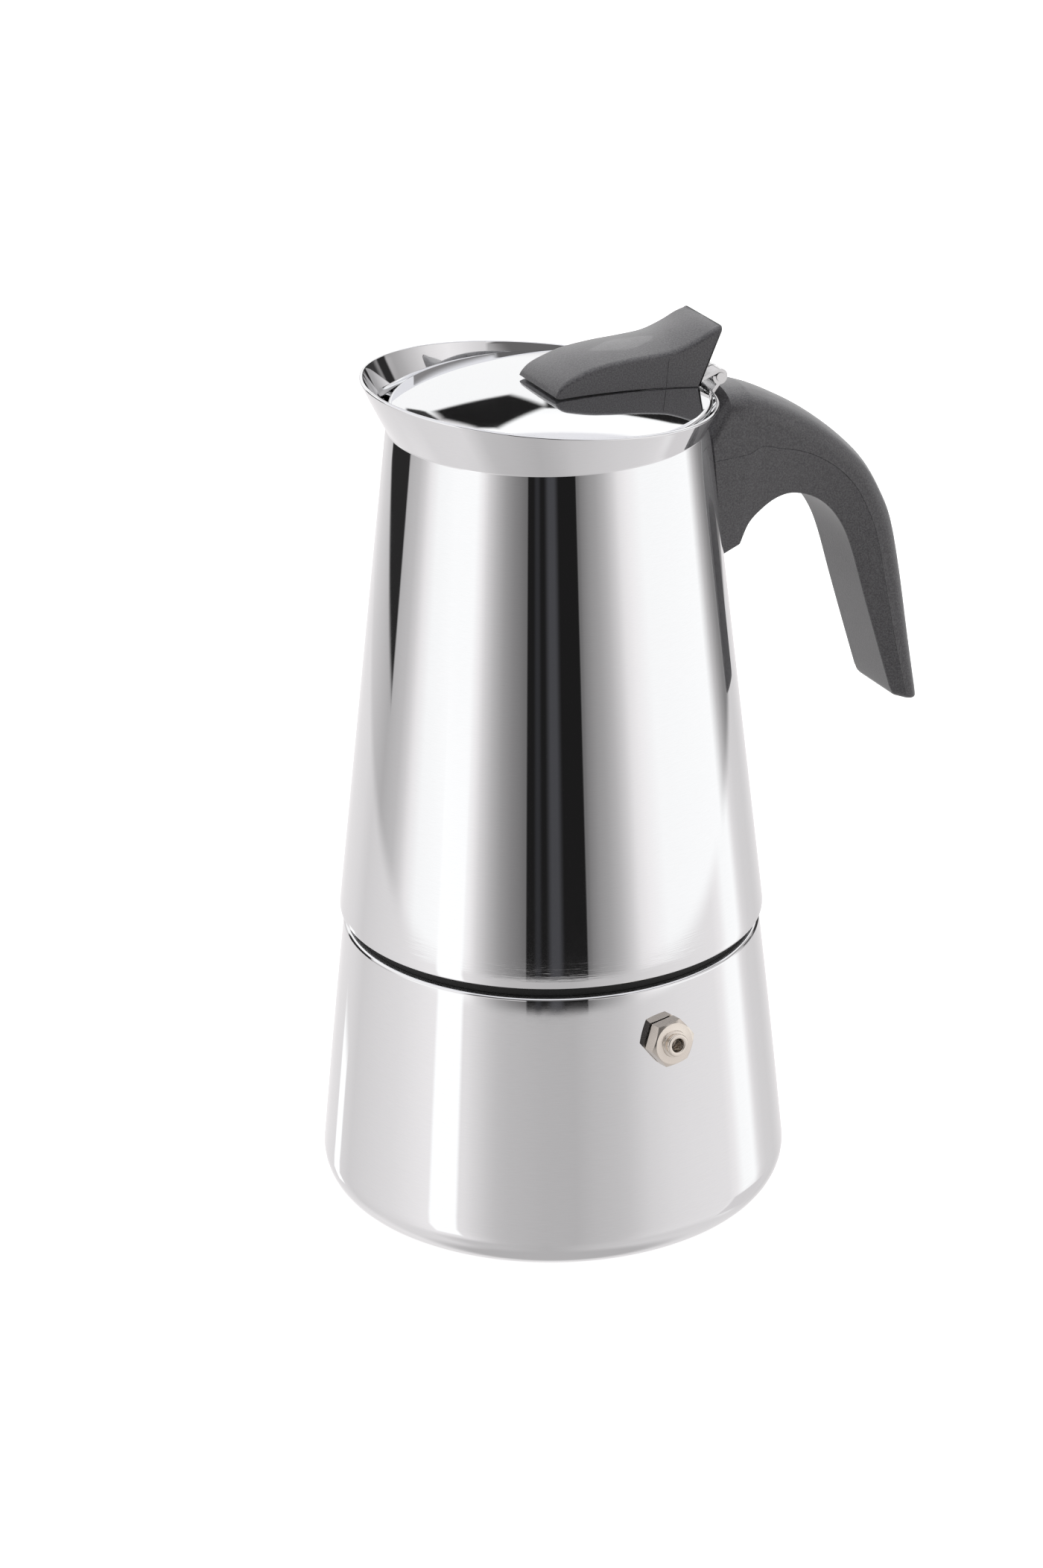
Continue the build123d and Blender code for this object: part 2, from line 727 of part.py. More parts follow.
def handle_back(y):
    """Points of the crowned back in the plane at a distance y beside the middle plane.

    Each point lies inside the middle plane's by a depth that grows with the distance, and from the
    jug to the free end.
    """
    ridge = [handle_point(place) for place in (handle_top, *handle_bow, handle_knee, handle_tip)]
    last = len(ridge) - 1
    points = []
    for i, (x, z) in enumerate(ridge):
        before = ridge[max(i - 1, 0)]
        after = ridge[min(i + 1, last)]
        run = hypot(after[0] - before[0], after[1] - before[1])
        depth = (2 * y / handle_w) ** 2 * (handle_crown + (handle_end_crown - handle_crown) * i / last)
        points.append((x + depth * (after[1] - before[1]) / run, z - depth * (after[0] - before[0]) / run))
    return points


def handle_outline(y):
    """Outline of the handle in the plane at a distance y beside its middle plane."""
    low_z = pin_z + handle_face[0]
    high_z = pin_z + handle_face[1]
    inner_tip = handle_point(handle_inner_tip)
    bend = handle_point(handle_bend)
    heel = handle_point(handle_heel)
    back = handle_back(y)
    with BuildSketch(Plane.XZ.offset(y)) as outline:
        with BuildLine():
            Line(on_face(high_z), back[0])
            straight = Line(back[-2], back[-1])
            Spline(*back[:-1], tangents=((1, 0), straight % 0))
            Line(back[-1], inner_tip)
            limb = Line(inner_tip, bend)
            Spline(bend, *[handle_point(place) for place in handle_arch], heel, tangents=(limb % 1, (-1, -1)))
            Line(heel, on_face(low_z))
            Line(on_face(low_z), on_face(high_z))
        make_face()
    return outline.sketch


arch_x = pin_x + handle_arch[1][0]
arch_z = pin_z + handle_arch[1][1]
screw_x = arch_x - screw_back
tongue_z = arch_z + tongue_up
screw_seat_z = arch_z + handle_screw_sink
screw_top_z = tongue_z + tongue_t + handle_screw_end


def bracket_section(clearance):
    """Section of the bracket: a leg on the jug's wall and a tongue into the handle."""
    leg_z = tongue_z - bracket_leg
    top_z = tongue_z + tongue_t
    with BuildSketch(Plane.XZ) as section:
        with BuildLine():
            Polyline(
                (jug_r_at(leg_z) + seat, leg_z),
                (jug_r_at(leg_z) + seat + bracket_t, leg_z),
                (jug_r_at(tongue_z) + seat + bracket_t, tongue_z),
                (screw_x + tongue_end, tongue_z),
                (screw_x + tongue_end, top_z),
                (jug_r_at(top_z) + seat, top_z),
                close=True,
            )
        make_face()
        if clearance:
            offset(amount=clearance)
    return section.sketch


with BuildPart() as handle:
    loft([handle_outline(handle_w * share) for share in (-0.5, -0.25, 0, 0.25, 0.5)])
    side_edges = handle.faces().filter_by(Axis.Y).edges()
    fillet(side_edges.filter_by(lambda edge: edge.center().X > pin_x + handle_heel[0]), handle_round)
    # Pockets for the bracket and the jug leaf
    extrude(bracket_section(slip), amount=bracket_w / 2 + slip, both=True, mode=Mode.SUBTRACT)
    extrude(jug_leaf_section(leaf_t + 2 * slip), amount=jug_leaf_w / 2 + slip, both=True, mode=Mode.SUBTRACT)
    # Recess and hole for the screw, from below
    recess = disc(handle_screw_head_r + slip, screw_seat_z, screw_x)
    extrude(recess, amount=-2 * handle_screw_sink, mode=Mode.SUBTRACT)
    hole = disc(handle_screw_r + screw_gap, screw_seat_z, screw_x)
    extrude(hole, amount=screw_top_z + slip - screw_seat_z, mode=Mode.SUBTRACT)
finish(handle, "handle", BLACK)

with BuildPart() as handle_bracket:
    extrude(bracket_section(0), amount=bracket_w / 2, both=True)
    hole = disc(handle_screw_r + seat, tongue_z - tongue_t, screw_x)
    extrude(hole, amount=3 * tongue_t, mode=Mode.SUBTRACT)
finish(handle_bracket, "handle_bracket", STEEL)

with BuildPart() as handle_screw:
    head_z = screw_seat_z - seat - handle_screw_head_t
    extrude(disc(handle_screw_head_r, head_z, screw_x), amount=handle_screw_head_t)
    extrude(disc(handle_screw_r, head_z, screw_x), amount=screw_top_z - head_z)
    # Slot across the head
    with BuildSketch(Plane.XY.offset(head_z)):
        with Locations((screw_x, 0)):
            Rectangle(3 * handle_screw_head_r, screw_slot_w)
    extrude(amount=screw_slot_t, mode=Mode.SUBTRACT)
finish(handle_screw, "handle_screw", STEEL)
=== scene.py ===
"""Looks of a stove-top moka pot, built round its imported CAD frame.

Sizes in the classes are millimetres and degrees; the pot's axis is +Z, the handle points to +X and
the pouring lip to -X. Meshes are made in metres, in the frame's own place.
"""

import logging
from dataclasses import dataclass, replace
from enum import Enum
from math import acos, cos, pi, radians, sin, sqrt, tan
from typing import Iterable, Sequence

import bmesh
import bpy
from mathutils import Matrix, Vector

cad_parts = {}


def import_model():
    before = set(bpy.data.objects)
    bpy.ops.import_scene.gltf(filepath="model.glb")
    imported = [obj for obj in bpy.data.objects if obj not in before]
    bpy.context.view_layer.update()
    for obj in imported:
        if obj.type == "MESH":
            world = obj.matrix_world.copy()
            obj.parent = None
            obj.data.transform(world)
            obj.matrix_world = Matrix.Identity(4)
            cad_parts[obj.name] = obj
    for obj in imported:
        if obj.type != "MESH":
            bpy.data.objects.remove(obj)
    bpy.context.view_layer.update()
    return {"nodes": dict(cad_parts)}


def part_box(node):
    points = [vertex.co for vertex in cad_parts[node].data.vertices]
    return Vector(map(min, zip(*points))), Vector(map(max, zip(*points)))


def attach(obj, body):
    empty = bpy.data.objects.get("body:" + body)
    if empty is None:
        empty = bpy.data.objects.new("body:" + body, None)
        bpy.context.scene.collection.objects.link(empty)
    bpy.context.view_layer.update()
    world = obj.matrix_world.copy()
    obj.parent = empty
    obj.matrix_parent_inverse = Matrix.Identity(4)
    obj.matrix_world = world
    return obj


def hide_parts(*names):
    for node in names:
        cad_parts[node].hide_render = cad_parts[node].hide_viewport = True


log = logging.getLogger("moka_pot")

MM = 0.001            # metres
MICRON = 1e-6         # metres
MERGE = 1e-6          # points nearer than this are one, in metres
Point = tuple[float, float]
Socket = bpy.types.NodeSocket


class Slot(Enum):
    """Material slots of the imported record."""

    POLISHED_STEEL = "polished_steel"
    SATIN_STEEL = "satin_steel"
    HINGE_STEEL = "hinge_steel"
    NICKEL = "nickel"
    BLACK_PLASTIC = "black_plastic"
    BLACK_RUBBER = "black_rubber"
    SILICONE = "silicone"


class Body(Enum):
    """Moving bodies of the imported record."""

    BOILER = "boiler"
    PISTON = "piston"
    FUNNEL = "funnel"
    SEAL = "seal"
    JUG = "jug"
    LID = "lid"


# ------------------------------------------------------------------------------------ node graphs


class Graph:
    """A node tree with short ways to add nodes and join their sockets."""

    def __init__(self, tree: bpy.types.NodeTree) -> None:
        """Take over an empty node tree."""
        self.tree = tree

    def add(self, kind: str, values: dict | None = None, **settings: object) -> bpy.types.Node:
        """Add a node.

        Args:
            kind: Blender's name of the node type, without the ShaderNode prefix.
            values: Input name or number to a value, or to a socket that is joined to it.
            **settings: Properties of the node itself.

        Returns:
            The new node.
        """
        node = self.tree.nodes.new("ShaderNode" + kind)
        for name, setting in settings.items():
            setattr(node, name, setting)
        for key, value in (values or {}).items():
            if isinstance(value, Socket):
                self.tree.links.new(value, node.inputs[key])
            else:
                node.inputs[key].default_value = value
        return node

    def math(self, operation: str, *values: object) -> Socket:
        """Add a Math node and return its output."""
        return self.add("Math", dict(enumerate(values)), operation=operation).outputs[0]

    def vector(self, operation: str, *values: object) -> Socket:
        """Add a Vector Math node and return its vector output."""
        return self.add("VectorMath", dict(enumerate(values)), operation=operation).outputs[0]

    def blend(self, share: object, a: object, b: object) -> Socket:
        """Mix two colours and return the colour output."""
        node = self.add("Mix", {0: share, 6: a, 7: b}, data_type="RGBA", clamp_factor=True)
        return node.outputs[2]

    def ease(self, value: object, low: object, high: object) -> Socket:
        """Rise smoothly from 0 to 1 as a value goes from low to high."""
        node = self.add("MapRange", {0: value, 1: low, 2: high}, interpolation_type="SMOOTHSTEP")
        return node.outputs[0]

    def group(self, tree: bpy.types.NodeTree, **values: object) -> bpy.types.Node:
        """Place a node group.

        Args:
            tree: The node group.
            **values: Name of an input to a value, or to a socket that is joined to it.

        Returns:
            The new node.
        """
        node = self.tree.nodes.new("ShaderNodeGroup")
        node.node_tree = tree
        for name, value in values.items():
            if isinstance(value, Socket):
                self.tree.links.new(value, node.inputs[name])
            else:
                node.inputs[name].default_value = value
        return node


class EffectGroup:
    """A node group that several materials share, with named inputs and outputs."""

    def __init__(self, name: str, inputs: dict[str, object], outputs: Sequence[str]) -> None:
        """Make the group's tree and its sockets.

        Args:
            name: Name of the node group.
            inputs: Input name to its start value; a tuple makes a vector input.
            outputs: Names of the number outputs.
        """
        self.tree = bpy.data.node_groups.new(name, "ShaderNodeTree")
        for label, start in inputs.items():
            kind = "NodeSocketVector" if isinstance(start, tuple) else "NodeSocketFloat"
            socket = self.tree.interface.new_socket(name=label, in_out="INPUT", socket_type=kind)
            socket.default_value = start
        kind = "NodeSocketFloat"
        for label in outputs:
            self.tree.interface.new_socket(name=label, in_out="OUTPUT", socket_type=kind)
        self.graph = Graph(self.tree)
        self.inputs = self.tree.nodes.new("NodeGroupInput").outputs
        self.outputs = self.tree.nodes.new("NodeGroupOutput").inputs

    def give(self, name: str, value: Socket) -> None:
        """Join a socket to one of the group's outputs."""
        self.tree.links.new(value, self.outputs[name])


def turning_lines() -> bpy.types.NodeTree:
    """Fine rings and slow waves left on sheet metal that was spun and polished.

    Returns:
        A group that reads a place and gives Lines, Wave and Smear, each from 0 to 1.
    """
    effect = EffectGroup(
        "TurningLines",
        {"Place": (0.0, 0.0, 0.0), "Fineness": 9000.0, "Runs": 18.0, "WaveSize": 45.0},
        ["Lines", "Wave", "Smear"],
    )
    graph, place = effect.graph, effect.inputs["Place"]
    split = graph.add("SeparateXYZ", {0: place}).outputs
    flat = graph.add("CombineXYZ", {0: split[0], 1: split[1]}).outputs[0]
    radius = graph.add("VectorMath", {0: flat}, operation="LENGTH").outputs[1]
    around = graph.vector("NORMALIZE", flat)
    runs = {0: around, 3: effect.inputs["Runs"]}
    run = graph.add("VectorMath", runs, operation="SCALE").outputs[0]
    climb = graph.math("MULTIPLY", graph.math("ADD", split[2], radius), effect.inputs["Fineness"])
    spot = graph.vector("ADD", run, graph.add("CombineXYZ", {2: climb}).outputs[0])
    lines = graph.add("TexNoise", {"Vector": spot, "Scale": 1.0, "Detail": 3.0, "Roughness": 0.6})
    effect.give("Lines", lines.outputs[0])
    size = effect.inputs["WaveSize"]
    wave = graph.add("TexNoise", {"Vector": place, "Scale": size, "Detail": 1.0})
    effect.give("Wave", wave.outputs[0])
    blotches = {"Vector": place, "Scale": 60.0, "Detail": 6.0, "Roughness": 0.65}
    smear = graph.add("TexNoise", blotches)
    clean, smeared = 0.42, 0.68
    effect.give("Smear", graph.ease(smear.outputs[0], clean, smeared))
    return effect.tree


def moulded_grain() -> bpy.types.NodeTree:
    """Fine spark-eroded grain of a moulded or rubber face.

    Returns:
        A group that reads a place and gives Height and Tone, each from 0 to 1.
    """
    inputs = {"Place": (0.0, 0.0, 0.0), "Fineness": 2600.0}
    effect = EffectGroup("MouldedGrain", inputs, ["Height", "Tone"])
    graph, place, fineness = effect.graph, effect.inputs["Place"], effect.inputs["Fineness"]
    fine = graph.add("TexNoise", {"Vector": place, "Scale": fineness, "Detail": 2.0})
    pits = graph.add("TexVoronoi", {"Vector": place, "Scale": fineness})
    pit_share = 0.6
    pitted = graph.math("MULTIPLY", pits.outputs[0], pit_share)
    effect.give("Height", graph.math("ADD", fine.outputs[0], pitted))
    specks = {"Vector": place, "Scale": 3000.0, "Detail": 2.0, "Roughness": 0.7}
    tone = graph.add("TexNoise", specks)
    dark, pale = 0.32, 0.7
    effect.give("Tone", graph.ease(tone.outputs[0], dark, pale))
    return effect.tree


# --------------------------------------------------------------------------------------- finishes


@dataclass(frozen=True)
class Axis:
    """The safety valve's axis, which leaves the boiler's wall at a right angle."""

    azimuth: float = -85.0        # degrees about the pot's axis, from +X
    lean: float = 5.94            # degrees above the horizon
    radius: float = 47.5          # where it meets the wall
    height: float = 51.9

    @property
    def origin(self) -> Vector:
        """Where the axis meets the wall, in metres."""
        angle = radians(self.azimuth)
        return Vector((self.radius * cos(angle), self.radius * sin(angle), self.height)) * MM

    @property
    def turning(self) -> tuple[float, float, float]:
        """Euler angles that turn +Z onto the axis."""
        return (0.0, radians(90 - self.lean), radians(self.azimuth))

    def stand(self, piece: bpy.types.Object) -> bpy.types.Object:
        """Move a piece that was made on +Z onto the valve's axis.

        Args:
            piece: The piece.

        Returns:
            The same piece.
        """
        pick(piece)
        bpy.ops.object.mode_set(mode="EDIT")
        bpy.ops.mesh.select_all(action="SELECT")
        _, down, around = self.turning
        bpy.ops.transform.rotate(value=-down, orient_axis="Y", center_override=(0, 0, 0))
        bpy.ops.transform.rotate(value=-around, orient_axis="Z", center_override=(0, 0, 0))
        bpy.ops.transform.translate(value=self.origin)
        bpy.ops.object.mode_set(mode="OBJECT")
        return piece


@dataclass(frozen=True)
class SpunMetal:
    """Polished, satin or plated metal with the rings of its turning."""

    name: str
    colour: tuple[float, float, float]
    roughness: float
    ring_roughness: float      # added where the rings are
    ring_depth: float          # micrometres
    wave_depth: float = 0.0    # micrometres
    fineness: float = 9000.0
    wave_size: float = 45.0
    ring_tone: float = 0.93          # how dark the rings are, as a share of the colour
    smear_share: float = 0.5         # how dull smears are, as a share of the rings
    brushing: Point = (0.0, 0.0)     # heights between which coarser rings were left
    brushed: float = 0.03            # how much of them shows elsewhere
    brush_fade: Point = (1.0, 4.0)   # how far they fade at the lower and the upper end
    brush_fineness: float = 2600.0
    brush_runs: float = 5.0
    brush_depth: float = 1.6         # micrometres
    axis: Axis | None = None         # what it was turned about, if not the pot's axis

    def build(self, lines: bpy.types.NodeTree) -> bpy.types.Material:
        """Make the material.

        Args:
            lines: The TurningLines group.

        Returns:
            The new material.
        """
        material, graph, shader = new_material(self.name)
        place = graph.add("TexCoord").outputs["Object"]
        if self.axis:
            values = {"Vector": place, "Location": self.axis.origin, "Rotation": self.axis.turning}
            place = graph.add("Mapping", values, vector_type="TEXTURE").outputs[0]
        rings = graph.group(
            lines, Place=place, Fineness=self.fineness, WaveSize=self.wave_size
        ).outputs
        dull = tuple(channel * self.ring_tone for channel in self.colour)
        tint = graph.blend(rings["Lines"], (*self.colour, 1.0), (*dull, 1.0))
        graph.tree.links.new(tint, shader.inputs["Base Color"])
        rough = graph.math("MULTIPLY_ADD", rings["Lines"], self.ring_roughness, self.roughness)
        smear = self.ring_roughness * self.smear_share
        rough = graph.math("MULTIPLY_ADD", rings["Smear"], smear, rough)
        graph.tree.links.new(rough, shader.inputs["Roughness"])
        normal = graph.add("Bump", {"Height": rings["Lines"], "Distance": self.ring_depth * MICRON})
        if self.wave_depth:
            depth = self.wave_depth * MICRON
            values = {"Height": rings["Wave"], "Distance": depth, "Normal": normal.outputs[0]}
            normal = graph.add("Bump", values)
        if self.brushing[1]:
            normal = self.brush(graph, place, lines, normal)
        graph.tree.links.new(normal.outputs[0], shader.inputs["Normal"])
        shader.inputs["Metallic"].default_value = 1.0
        return material

    def brush(
        self, graph: Graph, place: Socket, lines: bpy.types.NodeTree, normal: bpy.types.Node
    ) -> bpy.types.Node:
        """Add coarser rings, which stand out in one zone of the height.

        Args:
            graph: The material's graph.
            place: Place on the piece.
            lines: The TurningLines group.
            normal: Bump node that the rings are added to.

        Returns:
            The last bump node.
        """
        low, high = (height * MM for height in self.brushing)
        fade_low, fade_high = (fade * MM for fade in self.brush_fade)
        level = graph.add("SeparateXYZ", {0: place}).outputs[2]
        over = graph.ease(level, low, low + fade_low)
        under = graph.ease(level, high, high - fade_high)
        inside = graph.math("MULTIPLY", over, under)
        strength = graph.math("MULTIPLY_ADD", inside, 1.0 - self.brushed, self.brushed)
        rings = graph.group(lines, Place=place, Fineness=self.brush_fineness, Runs=self.brush_runs)
        values = {
            "Height": rings.outputs["Lines"],
            "Distance": self.brush_depth * MICRON,
            "Strength": strength,
            "Normal": normal.outputs[0],
        }
        return graph.add("Bump", values)


@dataclass(frozen=True)
class Moulded:
    """Matt moulded plastic, rubber or silicone with a fine grain."""

    name: str
    colour: tuple[float, float, float]
    pale: tuple[float, float, float]     # colour of the grain's tops
    roughness: float
    grain_depth: float                   # micrometres
    fineness: float = 2600.0
    pale_roughness: float = 0.08         # added on the grain's tops
    gloss: float = 0.5                   # specular level
    sheen: float = 0.0                   # paleness at a glancing angle
    sheen_roughness: float = 0.4

    def build(self, grain: bpy.types.NodeTree) -> bpy.types.Material:
        """Make the material.

        Args:
            grain: The MouldedGrain group.

        Returns:
            The new material.
        """
        material, graph, shader = new_material(self.name)
        place = graph.add("TexCoord").outputs["Object"]
        face = graph.group(grain, Place=place, Fineness=self.fineness).outputs
        tint = graph.blend(face["Tone"], (*self.colour, 1.0), (*self.pale, 1.0))
        graph.tree.links.new(tint, shader.inputs["Base Color"])
        rough = graph.math("MULTIPLY_ADD", face["Tone"], self.pale_roughness, self.roughness)
        graph.tree.links.new(rough, shader.inputs["Roughness"])
        depth = self.grain_depth * MICRON
        normal = graph.add("Bump", {"Height": face["Height"], "Distance": depth})
        graph.tree.links.new(normal.outputs[0], shader.inputs["Normal"])
        shader.inputs["Specular IOR Level"].default_value = self.gloss
        shader.inputs["Sheen Weight"].default_value = self.sheen
        shader.inputs["Sheen Roughness"].default_value = self.sheen_roughness
        return material


def new_material(name: str) -> tuple[bpy.types.Material, Graph, bpy.types.Node]:
    """Make an empty material with a Principled shader.

    Args:
        name: Name of the material.

    Returns:
        The material, its graph and the shader node.
    """
    material = bpy.data.materials.new(name)
    material.use_nodes = True
    tree = material.node_tree
    shader = tree.nodes["Principled BSDF"]
    return material, Graph(tree), shader


class Finishes:
    """All finishes of the pot, by material slot."""

    def __init__(self, valve_axis: Axis) -> None:
        """Build the shared groups and every material.

        Args:
            valve_axis: What the nickel-plated pieces were turned about.
        """
        lines, grain = turning_lines(), moulded_grain()
        metals = {
            Slot.POLISHED_STEEL: SpunMetal(
                "PolishedSteel",
                (0.945, 0.95, 0.96),
                roughness=0.012,
                ring_roughness=0.022,
                ring_depth=0.05,
                wave_depth=0.8,
                brushing=(67.0, 76.0),
            ),
            Slot.SATIN_STEEL: SpunMetal(
                "SatinSteel",
                (0.80, 0.81, 0.82),
                roughness=0.22,
                ring_roughness=0.14,
                ring_depth=0.6,
                fineness=5000.0,
            ),
            Slot.HINGE_STEEL: SpunMetal(
                "HingeSteel",
                (0.86, 0.86, 0.86),
                roughness=0.16,
                ring_roughness=0.10,
                ring_depth=0.3,
                fineness=6000.0,
            ),
            Slot.NICKEL: SpunMetal(
                "NickelPlate",
                (0.88, 0.81, 0.73),
                roughness=0.14,
                ring_roughness=0.12,
                ring_depth=0.5,
                fineness=7000.0,
                axis=valve_axis,
            ),
        }
        matts = {
            Slot.BLACK_PLASTIC: Moulded(
                "BlackPlastic",
                (0.014, 0.012, 0.017),
                (0.090, 0.088, 0.093),
                roughness=0.40,
                grain_depth=26.0,
                gloss=1.0,
                sheen=0.55,
            ),
            Slot.BLACK_RUBBER: Moulded(
                "BlackRubber",
                (0.008, 0.008, 0.008),
                (0.014, 0.014, 0.014),
                roughness=0.6,
                grain_depth=8.0,
            ),
            Slot.SILICONE: Moulded(
                "Silicone",
                (0.74, 0.72, 0.68),
                (0.80, 0.79, 0.76),
                roughness=0.42,
                grain_depth=6.0,
                fineness=1500.0,
            ),
        }
        self.by_slot = {slot: finish.build(lines) for slot, finish in metals.items()}
        self.by_slot.update({slot: finish.build(grain) for slot, finish in matts.items()})

    def dress_node(self, node: bpy.types.Object, slot: Slot) -> None:
        """Give a CAD node its finish.

        Args:
            node: The CAD node, which keeps its shape.
            slot: Material slot that it takes its finish from.
        """
        for place in range(len(node.material_slots)):
            node.material_slots[place].material = self.by_slot[slot]
        log.info("%s keeps its CAD shape, in %s", node.name, slot.value)

    def dress_piece(
        self, piece: bpy.types.Object, slot: Slot, body: Body, *nodes: str
    ) -> bpy.types.Object:
        """Give a modelled piece its finish and its place in the frame.

        Args:
            piece: The modelled piece.
            slot: Material slot it takes its finish from.
            body: Body that it moves with.
            *nodes: CAD nodes that it stands for.

        Returns:
            The same piece.
        """
        piece.data.materials.clear()
        piece.data.materials.append(self.by_slot[slot])
        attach(piece, body.value)
        if nodes:
            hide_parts(*nodes)
        log.info("%s stands for %s, in %s", piece.name, ", ".join(nodes) or "nothing", slot.value)
        return piece


# ------------------------------------------------------------------------------------------ bench


def clear_bench() -> None:
    """Leave edit mode and deselect everything."""
    if bpy.context.object and bpy.context.object.mode != "OBJECT":
        bpy.ops.object.mode_set(mode="OBJECT")
    bpy.ops.object.select_all(action="DESELECT")


def pick(piece: bpy.types.Object) -> None:
    """Make one object the only selected and the active one.

    Args:
        piece: The object.
    """
    clear_bench()
    piece.select_set(True)
    bpy.context.view_layer.objects.active = piece


def close_and_orient() -> None:
    """Merge doubled points and turn all faces outwards, in edit mode."""
    bpy.ops.mesh.select_all(action="SELECT")
    bpy.ops.mesh.remove_doubles(threshold=MERGE)
    bpy.ops.mesh.normals_make_consistent(inside=False)


def apply_modifier(piece: bpy.types.Object, kind: str, **settings: object) -> None:
    """Add a modifier to a piece and apply it.

    Args:
        piece: The piece.
        kind: Blender's name of the modifier type.
        **settings: Properties of the modifier.
    """
    pick(piece)
    modifier = piece.modifiers.new(kind.title(), kind)
    for name, setting in settings.items():
        setattr(modifier, name, setting)
    bpy.ops.object.modifier_apply(modifier=modifier.name)


def smooth_faces(piece: bpy.types.Object, angle: float = 35.0) -> bpy.types.Object:
    """Shade a piece smooth with crisp edges, its large faces keeping their true normals.

    Args:
        piece: The piece.
        angle: Sharpest angle that still shades smooth, in degrees.

    Returns:
        The same piece.
    """
    pick(piece)
    bpy.ops.object.shade_smooth_by_angle(angle=radians(angle))
    apply_modifier(piece, "WEIGHTED_NORMAL", mode="FACE_AREA", weight=50, keep_sharp=True)
    return piece


def rounded(corners: Sequence[tuple[float, float, float]], steps: int = 8) -> list[Point]:
    """Round the corners of a closed outline.

    Args:
        corners: Each corner's radius from the axis, its height and its rounding.
        steps: Runs in each rounding.

    Returns:
        Points (radius, height) of the rounded outline.
    """
    points: list[Point] = []
    for i, (r, z, rounding) in enumerate(corners):
        corner = Vector((r, z))
        if not rounding:
            points.append((r, z))
            continue
        back = (Vector(corners[i - 1][:2]) - corner).normalized()
        ahead = (Vector(corners[(i + 1) % len(corners)][:2]) - corner).normalized()
        half = acos(max(-1.0, min(1.0, back.dot(ahead)))) / 2
        centre = corner + (back + ahead).normalized() * (rounding / sin(half))
        first = corner + back * (rounding / tan(half)) - centre
        last = corner + ahead * (rounding / tan(half)) - centre
        sweep = first.angle_signed(last)
        for step in range(steps + 1):
            turn = -sweep * step / steps
            spot = centre + Matrix.Rotation(turn, 2) @ first
            points.append((spot.x, spot.y))
    return points


def draw_outline(points: Sequence[Point], closed: bool) -> None:
    """Draw an outline on the XZ plane, in a new object's edit mode.

    Args:
        points: Outline of (radius, height) points.
        closed: Whether the outline ends where it starts.
    """
    clear_bench()
    bpy.ops.mesh.primitive_plane_add(size=MM, enter_editmode=True)
    bpy.ops.mesh.merge(type="CENTER")
    bpy.ops.transform.translate(value=(points[0][0] * MM, 0.0, points[0][1] * MM))
    ends = list(points[1:]) + ([points[0]] if closed else [])
    last = points[0]
    for end in ends:
        step = ((end[0] - last[0]) * MM, 0.0, (end[1] - last[1]) * MM)
        bpy.ops.mesh.extrude_vertices_move(TRANSFORM_OT_translate={"value": step})
        last = end


def turn(
    name: str, points: Sequence[Point], closed: bool = True, steps: int = 256
) -> bpy.types.Object:
    """Turn an outline about the pot's axis.

    Args:
        name: Name of the piece.
        points: Outline of (radius, height) points.
        closed: Whether the outline ends where it starts.
        steps: Faces round the axis.

    Returns:
        The turned piece, unfinished.
    """
    draw_outline(points, closed)
    bpy.ops.mesh.select_all(action="SELECT")
    bpy.ops.mesh.spin(steps=steps, angle=2 * pi, center=(0, 0, 0), axis=(0, 0, 1))
    close_and_orient()
    bpy.ops.object.mode_set(mode="OBJECT")
    piece = bpy.context.object
    piece.name = name
    return piece


def smooth_path(points: Sequence[Point], runs: int) -> list[Point]:
    """Run a smooth curve through points.

    Args:
        points: Places that the curve passes through.
        runs: Steps between one point and the next.

    Returns:
        Points along the curve.
    """
    spots = [Vector(point) for point in points]
    spots = [2 * spots[0] - spots[1], *spots, 2 * spots[-1] - spots[-2]]
    path: list[Point] = []
    for a, b, c, d in zip(spots, spots[1:], spots[2:], spots[3:]):
        for step in range(runs):
            t = step / runs
            spot = b + (c - a) * (t / 2) + (2 * a - 5 * b + 4 * c - d) * (t * t / 2)
            spot += (3 * b - a - 3 * c + d) * (t**3 / 2)
            path.append((spot.x, spot.y))
    path.append((spots[-2].x, spots[-2].y))
    return path


